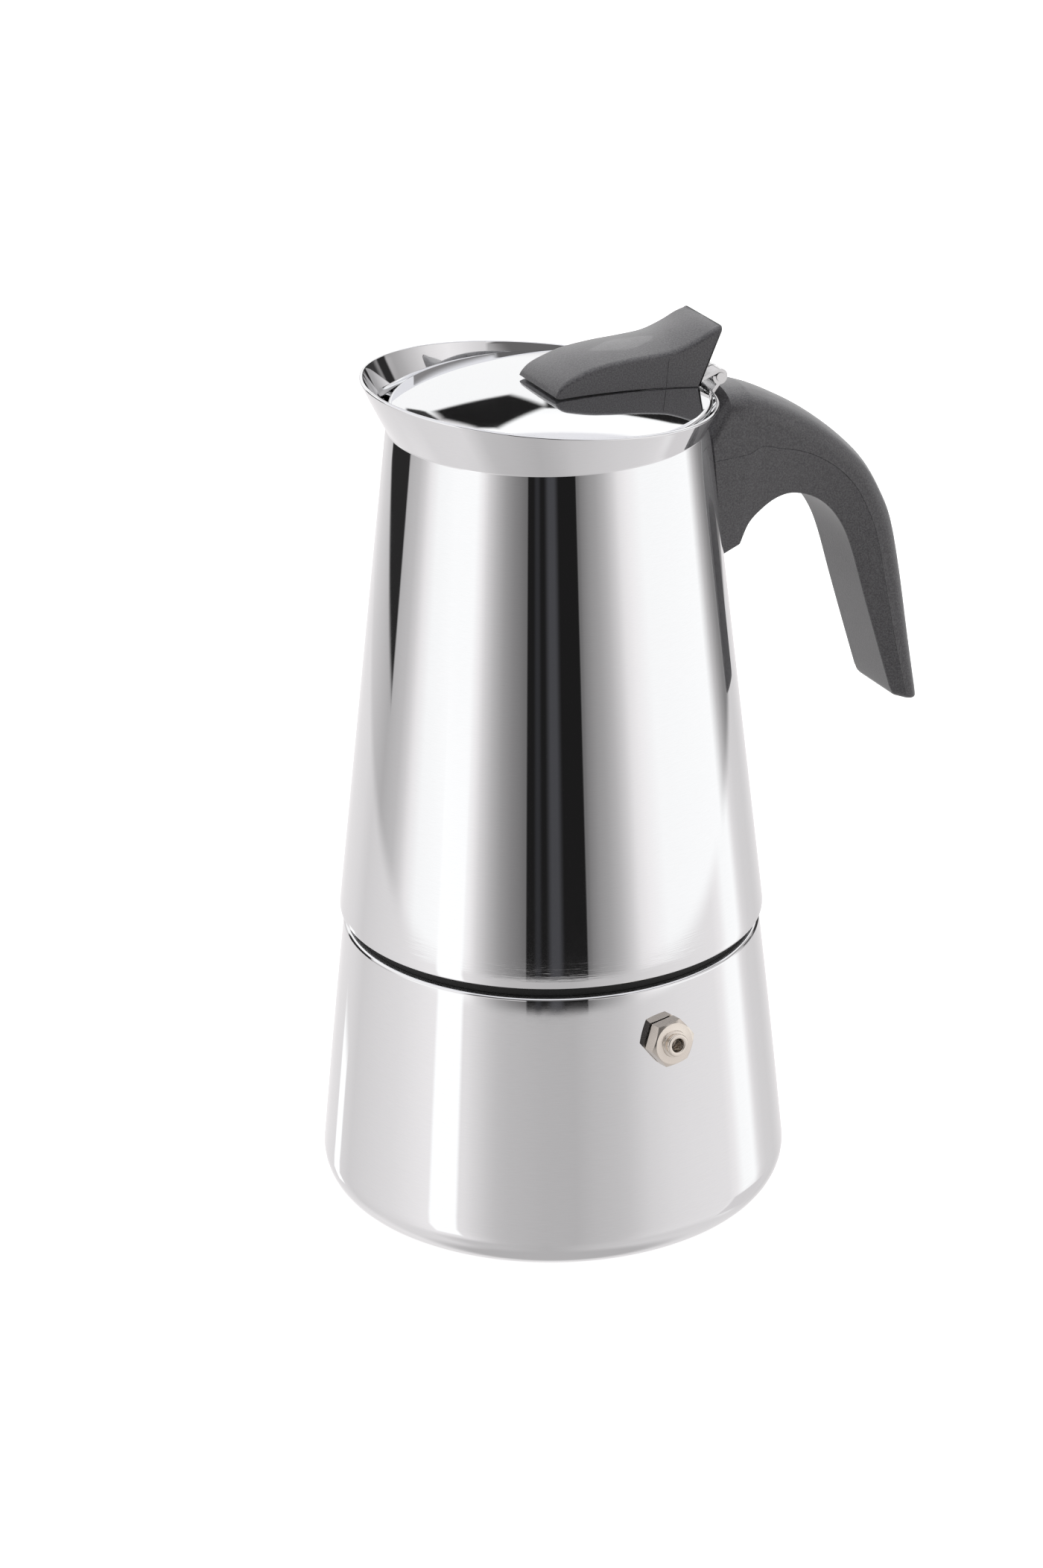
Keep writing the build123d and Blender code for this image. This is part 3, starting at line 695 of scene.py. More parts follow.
@dataclass(frozen=True)
class Rib:
    """One cross-section of a moulded grip, standing across the pot's middle plane."""

    inner: Point          # place (x, z) of the middle of the inner face
    outer: Point          # place (x, z) of the top of the crowned back
    inner_half: float     # half width of the inner face
    outer_half: float     # half width at the parting line
    parting: float        # where the mould parts, as a share of the thickness
    crown: float          # how much lower the back's sides lie than its middle
    soft: float           # rounding from the back to the sides
    edge: float = 0.6     # rounding of the inner face's edges
    seam: float = 0.1     # depth of the groove along the parting line
    hugs: bool = False    # whether it follows the round of the jug's wall
    soft_shares: Point = (0.8, 0.7)     # most of the side and of the back that the rounding takes
    arch_steps: int = 5                 # points on each half of the crowned back

    def ring(self) -> list[Vector]:
        """Lay out the points round the section.

        Returns:
            The points in metres, from the inner face's middle.
        """
        inner, outer = Vector(self.inner), Vector(self.outer)
        depth = (outer - inner).length
        split = self.parting * depth
        side = (depth - split - self.crown) * self.soft_shares[0]
        back = self.outer_half * self.soft_shares[1]
        soft = min(self.soft, side, back)
        reach = self.outer_half - soft
        arch = []
        for step in range(self.arch_steps, 0, -1):
            y = reach * step / self.arch_steps
            arch.append((y, depth - self.crown * (y / self.outer_half) ** 2, 0.0))
        corners = [
            (0.0, 0.0, 0.0),
            (self.inner_half / 2, 0.0, 0.0),
            (self.inner_half, 0.0, min(self.edge, split / 2)),
            (self.outer_half, split - self.seam, 0.0),
            (self.outer_half - self.seam, split, 0.0),
            (self.outer_half, split + self.seam, 0.0),
            (self.outer_half, depth - self.crown, soft),
            *arch,
            (0.0, depth, 0.0),
        ]
        half = rounded(corners)
        full = half + [(-y, height) for y, height in reversed(half[1:-1])]
        spots = []
        for y, height in full:
            place = inner.lerp(outer, height / depth)
            x = sqrt(place.x**2 - y**2) if self.hugs else place.x
            spots.append(Vector((x, y, place.y)) * MM)
        return spots


def round_off(
    before: Rib, last: Rib, radius: float, steps: int = 6, least_soft: float = 0.2
) -> list[Rib]:
    """Round the end of a grip.

    Args:
        before: The section before the last.
        last: The last section.
        radius: Rounding of the end's edges.
        steps: Runs in the rounding.
        least_soft: Least rounding from the back to the sides.

    Returns:
        Sections in place of the last one.
    """
    inner, outer = Vector(last.inner), Vector(last.outer)
    across = (outer - inner).normalized()
    along = (inner + outer - Vector(before.inner) - Vector(before.outer)).normalized()
    ribs = []
    for step in range(steps + 1):
        angle = radians(90 / steps * step)
        back = along * (radius * (sin(angle) - 1))
        inset = radius * (1 - cos(angle))
        ribs.append(
            replace(
                last,
                inner=tuple(inner + back + across * inset),
                outer=tuple(outer + back - across * inset),
                inner_half=last.inner_half - inset,
                outer_half=last.outer_half - inset,
                soft=max(last.soft - inset, least_soft),
            )
        )
    return ribs


def loft(name: str, ribs: Iterable[Rib]) -> bpy.types.Object:
    """Model a grip by shaping one ring after another and bridging them.

    Args:
        name: Name of the piece.
        ribs: Sections in order, from one end to the other.

    Returns:
        The closed piece, unfinished.
    """
    clear_bench()
    rings = [rib.ring() for rib in ribs]
    count = len(rings[0])
    bpy.ops.mesh.primitive_circle_add(vertices=count, radius=MM, enter_editmode=True)
    piece = bpy.context.object
    piece.name = name
    bpy.ops.mesh.edge_face_add()
    for i, ring in enumerate(rings):
        if i:
            bpy.ops.mesh.extrude_region_move(TRANSFORM_OT_translate={"value": (0, 0, MM)})
        mesh = bmesh.from_edit_mesh(piece.data)
        face = next(face for face in mesh.faces if face.select)
        for vertex, spot in zip(face.verts, ring):
            vertex.co = spot
        bmesh.update_edit_mesh(piece.data)
    close_and_orient()
    bpy.ops.object.mode_set(mode="OBJECT")
    return piece


# --------------------------------------------------------------------------------- sub-assemblies


@dataclass
class Boiler:
    """The spun boiler with its threaded neck, and the black band on its shoulder, whose black is
    partly painted shade of the recessed joint.
    """

    foot_r: float = 52.9
    base_round: float = 8.5
    shoulder_r: float = 46.2
    shoulder_z: float = 64.4
    shoulder_round: float = 1.0
    belly: float = 0.11          # how far the wall bows out halfway up
    belly_low: int = 12          # where the bowed wall starts
    belly_step: int = 3          # height between its rings
    wall: float = 1.0
    floor: float = 1.6
    neck_wall: float = 1.6
    band_play: float = 0.05      # gap between the neck and the band
    thread_pitch: float = 3.0
    thread_depth: float = 0.6
    thread_turns: float = 2.5
    thread_land: float = 0.3
    thread_sides: int = 12       # points round the thread's section
    thread_steps: int = 96       # sections in each of its turns

    def build(self, finishes: Finishes, nodes: dict[str, bpy.types.Object]) -> None:
        """Model the boiler and dress the pieces on it.

        Args:
            finishes: The pot's finishes.
            nodes: CAD nodes by name.
        """
        finishes.dress_piece(self.shell(), Slot.POLISHED_STEEL, Body.BOILER, "boiler")
        # the band's black is partly painted shade of the recessed joint between boiler and jug, and
        # partly the band's own speckled black
        finishes.dress_node(nodes["seam_band"], Slot.BLACK_RUBBER)

    def shell(self) -> bpy.types.Object:
        """Turn the boiler from base to neck and add its thread.

        Returns:
            The shell with its thread.
        """
        neck_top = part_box("boiler")[1].z / MM
        neck_r = self.neck_radius()
        slope = (self.foot_r - self.shoulder_r) / self.shoulder_z
        inner_foot = self.foot_r - slope * self.floor - self.wall
        middle = (self.shoulder_z + self.belly_low) / 2
        reach = (self.shoulder_z - self.belly_low) / 2
        wall_steps = [
            (self.foot_r - slope * z + self.belly * (1 - ((z - middle) / reach) ** 2), z, 0.0)
            for z in range(self.belly_low, int(self.shoulder_z) - 1, self.belly_step)
        ]
        corners = [
            (0.0, 0.0, 0.0),
            (self.foot_r, 0.0, self.base_round),
            *wall_steps,
            (self.shoulder_r, self.shoulder_z, self.shoulder_round),
            (neck_r, self.shoulder_z, 0.2),
            (neck_r, neck_top, 0.3),
            (neck_r - self.neck_wall, neck_top, 0.3),
            (neck_r - self.neck_wall, self.shoulder_z - self.wall, 0.2),
            (self.shoulder_r - self.wall, self.shoulder_z - self.wall, 0.3),
            (inner_foot, self.floor, self.base_round - self.wall),
            (0.0, self.floor, 0.0),
        ]
        shell = turn("boiler_shell", rounded(corners, 10))
        smooth_faces(shell)
        ridge = self.thread(neck_r, neck_top)
        pick(shell)
        ridge.select_set(True)
        bpy.ops.object.join()
        return shell

    def neck_radius(self) -> float:
        """Outside of the neck, from the band that fits round it."""
        mesh = bpy.data.objects["seam_band"].data
        return min(sqrt(v.co.x**2 + v.co.y**2) for v in mesh.vertices) / MM - self.band_play

    def thread(self, neck_r: float, neck_top: float) -> bpy.types.Object:
        """Wind the rolled thread round the neck.

        Args:
            neck_r: Outside of the neck.
            neck_top: Height of the neck's top.

        Returns:
            The thread's ridge.
        """
        clear_bench()
        rise = self.thread_turns * self.thread_pitch
        low = neck_top - self.thread_land - self.thread_depth - rise
        bpy.ops.mesh.primitive_circle_add(
            vertices=self.thread_sides, radius=self.thread_depth * MM, enter_editmode=True
        )
        bpy.ops.transform.rotate(value=pi / 2, orient_axis="X", center_override=(0, 0, 0))
        bpy.ops.transform.translate(value=(neck_r * MM, 0, low * MM))
        bpy.ops.object.mode_set(mode="OBJECT")
        ridge = bpy.context.object
        ridge.name = "thread_ridge"
        apply_modifier(
            ridge,
            "SCREW",
            angle=2 * pi,
            screw_offset=self.thread_pitch * MM,
            iterations=int(self.thread_turns),
            steps=self.thread_steps,
            use_merge_vertices=True,
        )
        return smooth_faces(ridge)


@dataclass
class Valve:
    """The safety valve: a hexagon with a lipped nipple, its washer, and the piston inside."""

    axis: Axis
    flats: float = 9.5
    turned: float = 8.0           # how far the hexagon is turned, in degrees
    seat: float = 0.35            # the hexagon's back, above the boiler's wall
    face: float = 3.6             # its front
    face_r: float = 4.55
    chamfer: float = 30.0         # degrees
    blank: float = 0.5            # how far the turned blank stands past the hexagon's corners
    collar_r: float = 2.95
    collar: float = 0.35          # the collar's front, above the face
    groove_r: float = 2.2
    groove: Point = (0.5, 0.75)   # the groove's start above the face, its end below the nipple's
    lip_r: float = 2.55
    lip: float = 0.55             # the lip's back, below the nipple's end
    end: float = 5.2              # the nipple's end
    bore_r: float = 1.5
    shank_r: float = 3.1
    shank_end: float = -7.3
    chamber: Point = (-6.3, 3.1)
    chamber_r: float = 2.1
    washer_r: float = 4.4
    washer_play: float = 0.05
    piston_r: float = 1.8
    piston_z: Point = (-6.25, -5.05)
    stem_r: float = 1.0
    stem_end: float = 1.0

    def build(self, finishes: Finishes, nodes: dict[str, bpy.types.Object]) -> None:
        """Model the pieces that show and dress the rest.

        Args:
            finishes: The pot's finishes.
            nodes: CAD nodes by name.
        """
        finishes.dress_piece(self.body(), Slot.NICKEL, Body.BOILER, "valve_body")
        finishes.dress_piece(self.washer(), Slot.BLACK_RUBBER, Body.BOILER, "valve_washer")
        finishes.dress_piece(self.piston(), Slot.NICKEL, Body.PISTON, "valve_piston")
        finishes.dress_node(nodes["valve_inner_seal"], Slot.BLACK_RUBBER)
        finishes.dress_node(nodes["valve_lock_nut"], Slot.NICKEL)
        finishes.dress_node(nodes["valve_spring"], Slot.HINGE_STEEL)

    def body(self) -> bpy.types.Object:
        """Turn the body and cut its flats.

        Returns:
            The body, on the valve's axis.
        """
        corner_r = self.flats / sqrt(3)
        blank_r = corner_r + self.blank
        drop = (blank_r - self.face_r) * tan(radians(self.chamfer))
        low, high = self.chamber
        corners = [
            (self.bore_r, self.shank_end, 0.1),
            (self.shank_r, self.shank_end, 0.2),
            (self.shank_r, self.seat, 0.0),
            (blank_r, self.seat, 0.0),
            (blank_r, self.face - drop, 0.0),
            (self.face_r, self.face, 0.2),
            (self.collar_r, self.face, 0.1),
            (self.collar_r, self.face + self.collar, 0.14),
            (self.groove_r, self.face + self.groove[0], 0.12),
            (self.groove_r, self.end - self.groove[1], 0.12),
            (self.lip_r, self.end - self.lip, 0.15),
            (self.lip_r, self.end, 0.3),
            (self.bore_r, self.end, 0.3),
            (self.bore_r, high, 0.0),
            (self.chamber_r, high, 0.0),
            (self.chamber_r, low, 0.0),
            (self.bore_r, low, 0.0),
        ]
        body = turn("valve_hexagon", rounded(corners, 5), steps=96)
        clear_bench()
        length = 2 * (self.end - self.shank_end)
        bpy.ops.mesh.primitive_cylinder_add(vertices=6, radius=corner_r * MM, depth=length * MM)
        flats = bpy.context.object
        bpy.ops.object.mode_set(mode="EDIT")
        bpy.ops.mesh.select_all(action="SELECT")
        turned = -radians(self.turned)
        bpy.ops.transform.rotate(value=turned, orient_axis="Z", center_override=(0, 0, 0))
        bpy.ops.object.mode_set(mode="OBJECT")
        apply_modifier(body, "BOOLEAN", operation="INTERSECT", solver="EXACT", object=flats)
        bpy.data.objects.remove(flats)
        return smooth_faces(self.axis.stand(body), 25.0)

    def washer(self) -> bpy.types.Object:
        """Turn the washer between the boiler's wall and the hexagon.

        Returns:
            The washer, on the valve's axis.
        """
        play = self.washer_play
        inner = self.shank_r + play
        corners = [
            (inner, play, 0.1),
            (self.washer_r, play, 0.15),
            (self.washer_r, self.seat - play, 0.15),
            (inner, self.seat - play, 0.1),
        ]
        return smooth_faces(self.axis.stand(turn("valve_ring", rounded(corners, 4), steps=64)))

    def piston(self) -> bpy.types.Object:
        """Turn the piston with its stem.

        Returns:
            The piston, on the valve's axis.
        """
        low, high = self.piston_z
        corners = [
            (0.0, low, 0.0),
            (self.piston_r, low, 0.2),
            (self.piston_r, high, 0.1),
            (self.stem_r, high, 0.1),
            (self.stem_r, self.stem_end, 0.3),
            (0.0, self.stem_end, 0.0),
        ]
        return smooth_faces(self.axis.stand(turn("valve_stem", rounded(corners, 4), steps=48)))


@dataclass
class Seal:
    """The funnel, gasket and filter plate between boiler and jug."""

    def build(self, finishes: Finishes, nodes: dict[str, bpy.types.Object]) -> None:
        """Dress the pieces that lift out.

        Args:
            finishes: The pot's finishes.
            nodes: CAD nodes by name.
        """
        for name in ("funnel", "funnel_tube", "funnel_sieve", "filter_plate"):
            finishes.dress_node(nodes[name], Slot.SATIN_STEEL)
        finishes.dress_node(nodes["gasket"], Slot.SILICONE)


@dataclass
class Jug:
    """The spun jug with its flared pouring rim, its screwed-on base and its column."""

    foot_r: float = 46.3
    low_z: float = 66.7
    crease_r: float = 33.75
    crease_z: float = 178.8
    crease_round: float = 1.6
    crease_zone: float = 3.0     # edges this near the crease's height keep their shape
    wall: float = 0.8
    wall_rings: tuple[int, int, int] = (82, 176, 7)     # lowest, end and step of the wall's rings
    rim_length: float = 38.3     # half axis along the spout
    rim_width: float = 36.4      # half axis across
    rim_shift: float = 1.65      # rim's centre, towards the spout
    rim_z: float = 186.75
    rim_tilt: float = 6.3
    rim_round: float = 0.3
    sharp: float = 60.0          # edges sharper than this are rounded, in degrees
    flare_runs: int = 10
    foot_steps: tuple[Point, ...] = (      # height and extra lean of the rings down to the foot
        (6.0, 0.0), (6.0, 0.0), (1.5, -0.1), (0.4, -0.9), (0.4, -2.0), (0.4, -3.8), (0.4, -6.0),
    )

    def build(self, finishes: Finishes, nodes: dict[str, bpy.types.Object]) -> None:
        """Model the jug and dress what is fixed in it.

        Args:
            finishes: The pot's finishes.
            nodes: CAD nodes by name.
        """
        finishes.dress_piece(self.shell(), Slot.POLISHED_STEEL, Body.JUG, "jug")
        for name in ("jug_base", "column", "column_cap"):
            finishes.dress_node(nodes[name], Slot.SATIN_STEEL)

    def shell(self) -> bpy.types.Object:
        """Turn the outer face, pull its flare to the slanting rim, and thicken the sheet.

        Returns:
            The jug's shell.
        """
        slope = (self.foot_r - self.crease_r) / (self.crease_z - self.low_z)
        wall_steps = [
            (self.crease_r + slope * (self.crease_z - z), z, 0.0) for z in range(*self.wall_rings)
        ]
        radius, height = wall_steps[0][:2]
        for step, lean in self.foot_steps:
            height -= step
            radius += step * (slope + radians(lean))
            wall_steps.insert(0, (radius, height, 0.0))
        rim_mean = (self.rim_length + self.rim_width) / 2
        corners = [
            *wall_steps,
            (self.crease_r, self.crease_z, self.crease_round),
            (rim_mean, self.rim_z, 0.0),
        ]
        outline = rounded(corners, 6)[:-1]
        start = outline[-1]
        for run in range(1, self.flare_runs + 1):
            share = run / self.flare_runs
            radius = start[0] + (rim_mean - start[0]) * share
            outline.append((radius, start[1] + (self.rim_z - start[1]) * share))
        shell = turn("jug_shell", outline, closed=False)
        self.shape_flare(shell, outline[-self.flare_runs - 1 :])
        wall = self.wall * MM
        apply_modifier(shell, "SOLIDIFY", thickness=wall, offset=-1.0, use_even_offset=True)
        self.round_rim(shell)
        return smooth_faces(shell, 50.0)

    def shape_flare(self, shell: bpy.types.Object, rings: Sequence[Point]) -> None:
        """Move the flare's rings from the round crease to the slanting oval rim.

        Args:
            shell: The turned shell.
            rings: Radius and height of the flare's rings, from the crease up.
        """
        pick(shell)
        bpy.ops.object.mode_set(mode="EDIT")
        rim_r = rings[-1][0]
        for i, (radius, height) in enumerate(rings[1:], 1):
            share = i / (len(rings) - 1)
            self.pick_ring(shell, radius, height)
            centre = (0, 0, height * MM)
            target = [radius + (half - rim_r) * share for half in (self.rim_length, self.rim_width)]
            bpy.ops.transform.resize(
                value=(target[0] / radius, target[1] / radius, 1), center_override=centre
            )
            bpy.ops.transform.rotate(
                value=-radians(self.rim_tilt * share), orient_axis="Y", center_override=centre
            )
            bpy.ops.transform.translate(value=(-self.rim_shift * share * MM, 0, 0))
        bpy.ops.object.mode_set(mode="OBJECT")

    def pick_ring(self, shell: bpy.types.Object, radius: float, height: float) -> None:
        """Select a ring that isn't shaped yet, in edit mode.

        Args:
            shell: The turned shell.
            radius: The ring's radius.
            height: Its height.
        """
        bpy.ops.mesh.select_all(action="DESELECT")
        mesh = bmesh.from_edit_mesh(shell.data)
        for vertex in mesh.verts:
            level = abs(vertex.co.z - height * MM) < MERGE
            near = abs(vertex.co.xy.length - radius * MM) < 10 * MERGE
            vertex.select_set(level and near)
        mesh.select_flush_mode()
        bmesh.update_edit_mesh(shell.data)

    def round_rim(self, shell: bpy.types.Object) -> None:
        """Round the edges of the cut rim and of the foot.

        Args:
            shell: The thickened shell.
        """
        pick(shell)
        bpy.ops.object.mode_set(mode="EDIT")
        bpy.ops.mesh.select_mode(type="EDGE")
        bpy.ops.mesh.select_all(action="DESELECT")
        mesh = bmesh.from_edit_mesh(shell.data)
        for edge in mesh.edges:
            near_crease = abs(edge.verts[0].co.z - self.crease_z * MM) < self.crease_zone * MM
            if not near_crease and edge.calc_face_angle(0.0) > radians(self.sharp):
                edge.select_set(True)
        bmesh.update_edit_mesh(shell.data)
        bpy.ops.mesh.bevel(offset=self.rim_round * MM, segments=4, profile=0.5)
        bpy.ops.mesh.select_mode(type="VERT")
        bpy.ops.object.mode_set(mode="OBJECT")


@dataclass
class Lid:
    """The domed lid with its turned-down lip, its knob and its hinge leaf."""

    edge_z: float = 183.9
    top_z: float = 186.5
    lip: float = 1.3
    wall: float = 0.6
    edge_round: float = 1.0
    hinge_reach: float = 1.7     # how much farther the lid reaches towards the hinge
    dome_rings: int = 12
    knob_half: float = 9.0
    knob_end: float = 0.7        # rounding of the thumb piece's back edge
    knob_low: Point = (186.3, -0.3)     # height of the knob's underside at the axis, and its slope
    knob_play: float = 0.1       # least gap between it and the lid
    knob_sketch: tuple[tuple[float, ...], ...] = (
        # x below, x and height above, rounding to the sides, fall to the sides
        (-2.0, -2.6, 187.4, 0.2, 0.5),
        (-0.9, -1.9, 188.6, 0.6, 0.5),
        (0.6, 0.0, 190.2, 1.0, 0.5),
        (3.2, 3.4, 191.6, 1.4, 0.6),
        (7.2, 8.0, 192.8, 1.5, 0.7),
        (13.0, 14.5, 193.5, 1.5, 0.9),
        (19.0, 21.5, 193.8, 1.5, 1.1),
        (24.0, 27.0, 194.3, 1.5, 1.3),
        (28.0, 31.6, 195.5, 1.5, 1.1),
        (31.0, 35.4, 196.7, 1.4, 0.5),
        (32.3, 38.2, 197.1, 1.6, 0.0),
    )
    sketch_runs: int = 4         # sections between one row of the sketch and the next
    mark_x: float = 24.4         # fine raised line left by the mould
    mark_z: Point = (185.4, 191.9)
    mark_lean: float = 6.0       # degrees
    mark_size: Point = (0.24, 0.1)      # its width, and how far it stands out
    mark_soft: float = 0.8       # rounding of its edges, as a share of how far it stands out

    def build(self, finishes: Finishes, nodes: dict[str, bpy.types.Object]) -> None:
        """Model the lid and its knob, and dress what holds them.

        Args:
            finishes: The pot's finishes.
            nodes: CAD nodes by name.
        """
        finishes.dress_piece(self.disc(), Slot.POLISHED_STEEL, Body.LID, "lid")
        finishes.dress_piece(self.knob(), Slot.BLACK_PLASTIC, Body.LID, "lid_knob")
        finishes.dress_node(nodes["lid_hinge_leaf"], Slot.HINGE_STEEL)
        finishes.dress_node(nodes["knob_screws"], Slot.HINGE_STEEL)

    def edge_radius(self) -> float:
        """Radius of the lid's edge, from its CAD node."""
        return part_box("lid")[1].x / MM

    def dome(self, radius: float) -> float:
        """Work out the height of the lid's outer face.

        Args:
            radius: Distance from the axis.

        Returns:
            The height.
        """
        drop = self.top_z - self.edge_z
        sphere = (self.edge_radius() ** 2 + drop**2) / (2 * drop)
        return self.top_z - sphere + sqrt(sphere**2 - radius**2)

    def disc(self) -> bpy.types.Object:
        """Turn the lid and let it reach to its hinge.

        Returns:
            The lid's disc.
        """
        edge = self.edge_radius()
        rings = [edge * ring / self.dome_rings for ring in range(self.dome_rings)]
        corners = [(r, self.dome(r), 0.0) for r in rings]
        corners += [
            (edge, self.edge_z, self.edge_round),
            (edge, self.edge_z - self.lip, 0.15),
            (edge - self.wall, self.edge_z - self.lip, 0.15),
            (edge - self.wall, self.edge_z - self.wall, self.edge_round - self.wall),
        ]
        corners += [(r, self.dome(r) - self.wall, 0.0) for r in reversed(rings)]
        disc = turn("lid_disc", rounded(corners, 8))
        pick(disc)
        bpy.ops.object.mode_set(mode="EDIT")
        bpy.ops.mesh.select_all(action="SELECT")
        left = (-edge * MM, 0, 0)
        stretch = 1 + self.hinge_reach / (2 * edge)
        bpy.ops.transform.resize(value=(stretch, 1, 1), center_override=left)
        bpy.ops.object.mode_set(mode="OBJECT")
        return smooth_faces(disc)

    def knob(self) -> bpy.types.Object:
        """Loft the knob from its low nose to its raised thumb piece.

        Returns:
            The knob with the line on its near side.
        """
        base, slope = self.knob_low
        below = []
        for x, *_ in self.knob_sketch:
            below.append((x, max(self.dome(x) + self.knob_play, base + slope * x)))
        low = smooth_path(below, self.sketch_runs)
        high = smooth_path([row[1:3] for row in self.knob_sketch], self.sketch_runs)
        edges = smooth_path([row[3:] for row in self.knob_sketch], self.sketch_runs)
        half = self.knob_half
        ribs = [
            Rib(inner, outer, half, half, parting=0.1, crown=crown, soft=soft, edge=0.2, seam=0.0)
            for inner, outer, (soft, crown) in zip(low, high, edges)
        ]
        ribs[-1:] = round_off(ribs[-2], ribs[-1], self.knob_end)
        grip = smooth_faces(loft("lid_grip", ribs))
        mark = self.mark()
        pick(grip)
        mark.select_set(True)
        bpy.ops.object.join()
        return grip

    def mark(self) -> bpy.types.Object:
        """Raise the fine line that the mould left on the knob's near side.

        Returns:
            The raised line, half sunk in the knob.
        """
        clear_bench()
        low, high = self.mark_z
        width, proud = self.mark_size
        middle = (self.mark_x * MM, -self.knob_half * MM, (low + high) / 2 * MM)
        bpy.ops.mesh.primitive_cube_add(size=MM, location=(0, 0, 0), enter_editmode=True)
        bpy.ops.transform.resize(value=(width, 2 * proud, high - low), center_override=(0, 0, 0))
        lean = -radians(self.mark_lean)
        bpy.ops.transform.rotate(value=lean, orient_axis="Y", center_override=(0, 0, 0))
        bpy.ops.transform.translate(value=middle)
        bpy.ops.mesh.bevel(offset=proud * self.mark_soft * MM, segments=2)
        bpy.ops.object.mode_set(mode="OBJECT")
        return bpy.context.object


@dataclass
class Handle:
    """The one-ended handle with its crowned back, on its bracket."""

    half: float = 9.5
    inner_half: float = 8.2
    soft: float = 5.0
    end_round: float = 1.6
    gap_depth: float = 2.5       # depth of the narrow gap along the jug's wall
    gap_ribs: int = 2            # narrower sections in the gap, which follow the wall
    root: tuple[tuple, ...] = (
        # inner and outer place (x, z), where the mould parts, fall of the back to the sides
        ((37.85, 144.4), (34.4, 175.6), 0.72, 2.0),
        ((38.0, 144.4), (34.55, 175.6), 0.72, 2.0),
        ((38.2, 144.4), (34.75, 175.6), 0.72, 2.0),
        ((38.9, 144.7), (39.9, 182.0), 0.60, 2.0),
    )
    arm: tuple[tuple, ...] = (
        ((42.6, 146.2), (45.2, 181.3), 0.60, 2.0),
        ((44.6, 150.4), (49.6, 179.6), 0.62, 2.0),
        ((47.4, 153.1), (54.6, 177.0), 0.60, 2.0),
        ((51.4, 155.4), (59.8, 173.9), 0.585, 2.0),
        ((55.8, 156.0), (64.8, 170.3), 0.57, 2.0),
        ((61.1, 154.2), (70.4, 165.5), 0.555, 2.1),
        ((65.3, 150.8), (75.6, 159.8), 0.53, 2.2),
        ((68.6, 145.9), (79.6, 152.8), 0.50, 2.3),
        ((71.0, 139.8), (82.3, 146.1), 0.48, 2.4),
        ((74.0, 129.4), (84.8, 134.1), 0.44, 2.5),
        ((77.8, 116.7), (87.4, 117.9), 0.39, 2.6),
        ((81.9, 103.3), (90.0, 101.0), 0.37, 2.6),
    )
    arm_runs: int = 5            # sections between one row of the arm and the next

    def build(self, finishes: Finishes, nodes: dict[str, bpy.types.Object]) -> None:
        """Model the grip and dress the pieces that hold it.

        Args:
            finishes: The pot's finishes.
            nodes: CAD nodes by name.
        """
        finishes.dress_piece(self.grip(), Slot.BLACK_PLASTIC, Body.JUG, "handle")
        for name in ("handle_bracket", "handle_screw", "hinge_pin", "jug_hinge_leaf"):
            finishes.dress_node(nodes[name], Slot.HINGE_STEEL)

    def grip(self) -> bpy.types.Object:
        """Loft the grip from its face on the jug, over the arch, to its free end.

        Returns:
            The grip.
        """

        def line(part: slice | int) -> list:
            """One column of the root's rows, then of the arm's, smoothed."""
            arm = smooth_path([row[part] for row in self.arm], self.arm_runs)
            return [row[part] for row in self.root] + arm

        ribs = []
        rows = zip(line(0), line(1), line(slice(2, 4)))
        for i, (inner, outer, (parting, crown)) in enumerate(rows):
            hugs = i < self.gap_ribs
            in_gap = self.gap_depth if hugs else 0.0
            inner_half, half = self.inner_half - in_gap, self.half - in_gap
            ribs.append(Rib(inner, outer, inner_half, half, parting, crown, self.soft, hugs=hugs))
        ribs[-1:] = round_off(ribs[-2], ribs[-1], self.end_round)
        return smooth_faces(loft("handle_grip", ribs))


# ----------------------------------------------------------------------------------------- studio


def grey(level: float) -> float:
    """Light that a display shows as this grey, from 0 to 1."""
    return level / 12.92 if level <= 0.04045 else ((level + 0.055) / 1.055) ** 2.4


def sheet(left: float, right: float, low: float, high: float) -> tuple[Point, ...]:
    """Corners of an upright card between two azimuths and two heights, in degrees."""
    return ((left, low), (right, low), (right, high), (left, high))


@dataclass(frozen=True)
class Card:
    """A black, grey or white card, or a lamp, that stands round the pot."""

    corners: tuple[Point, ...]      # azimuth from +X and height above the horizon, in degrees
    grey: float                     # the grey that it shows as, from 0 to 1, or the lamp's strength
    blur: Point = (0.5, 0.4)        # blur across its sides and across its ends, in degrees
    tint: Point = (0.97, 0.98)      # green and blue, as shares of red
    on_table: bool = False          # whether the table's edge hides its foot


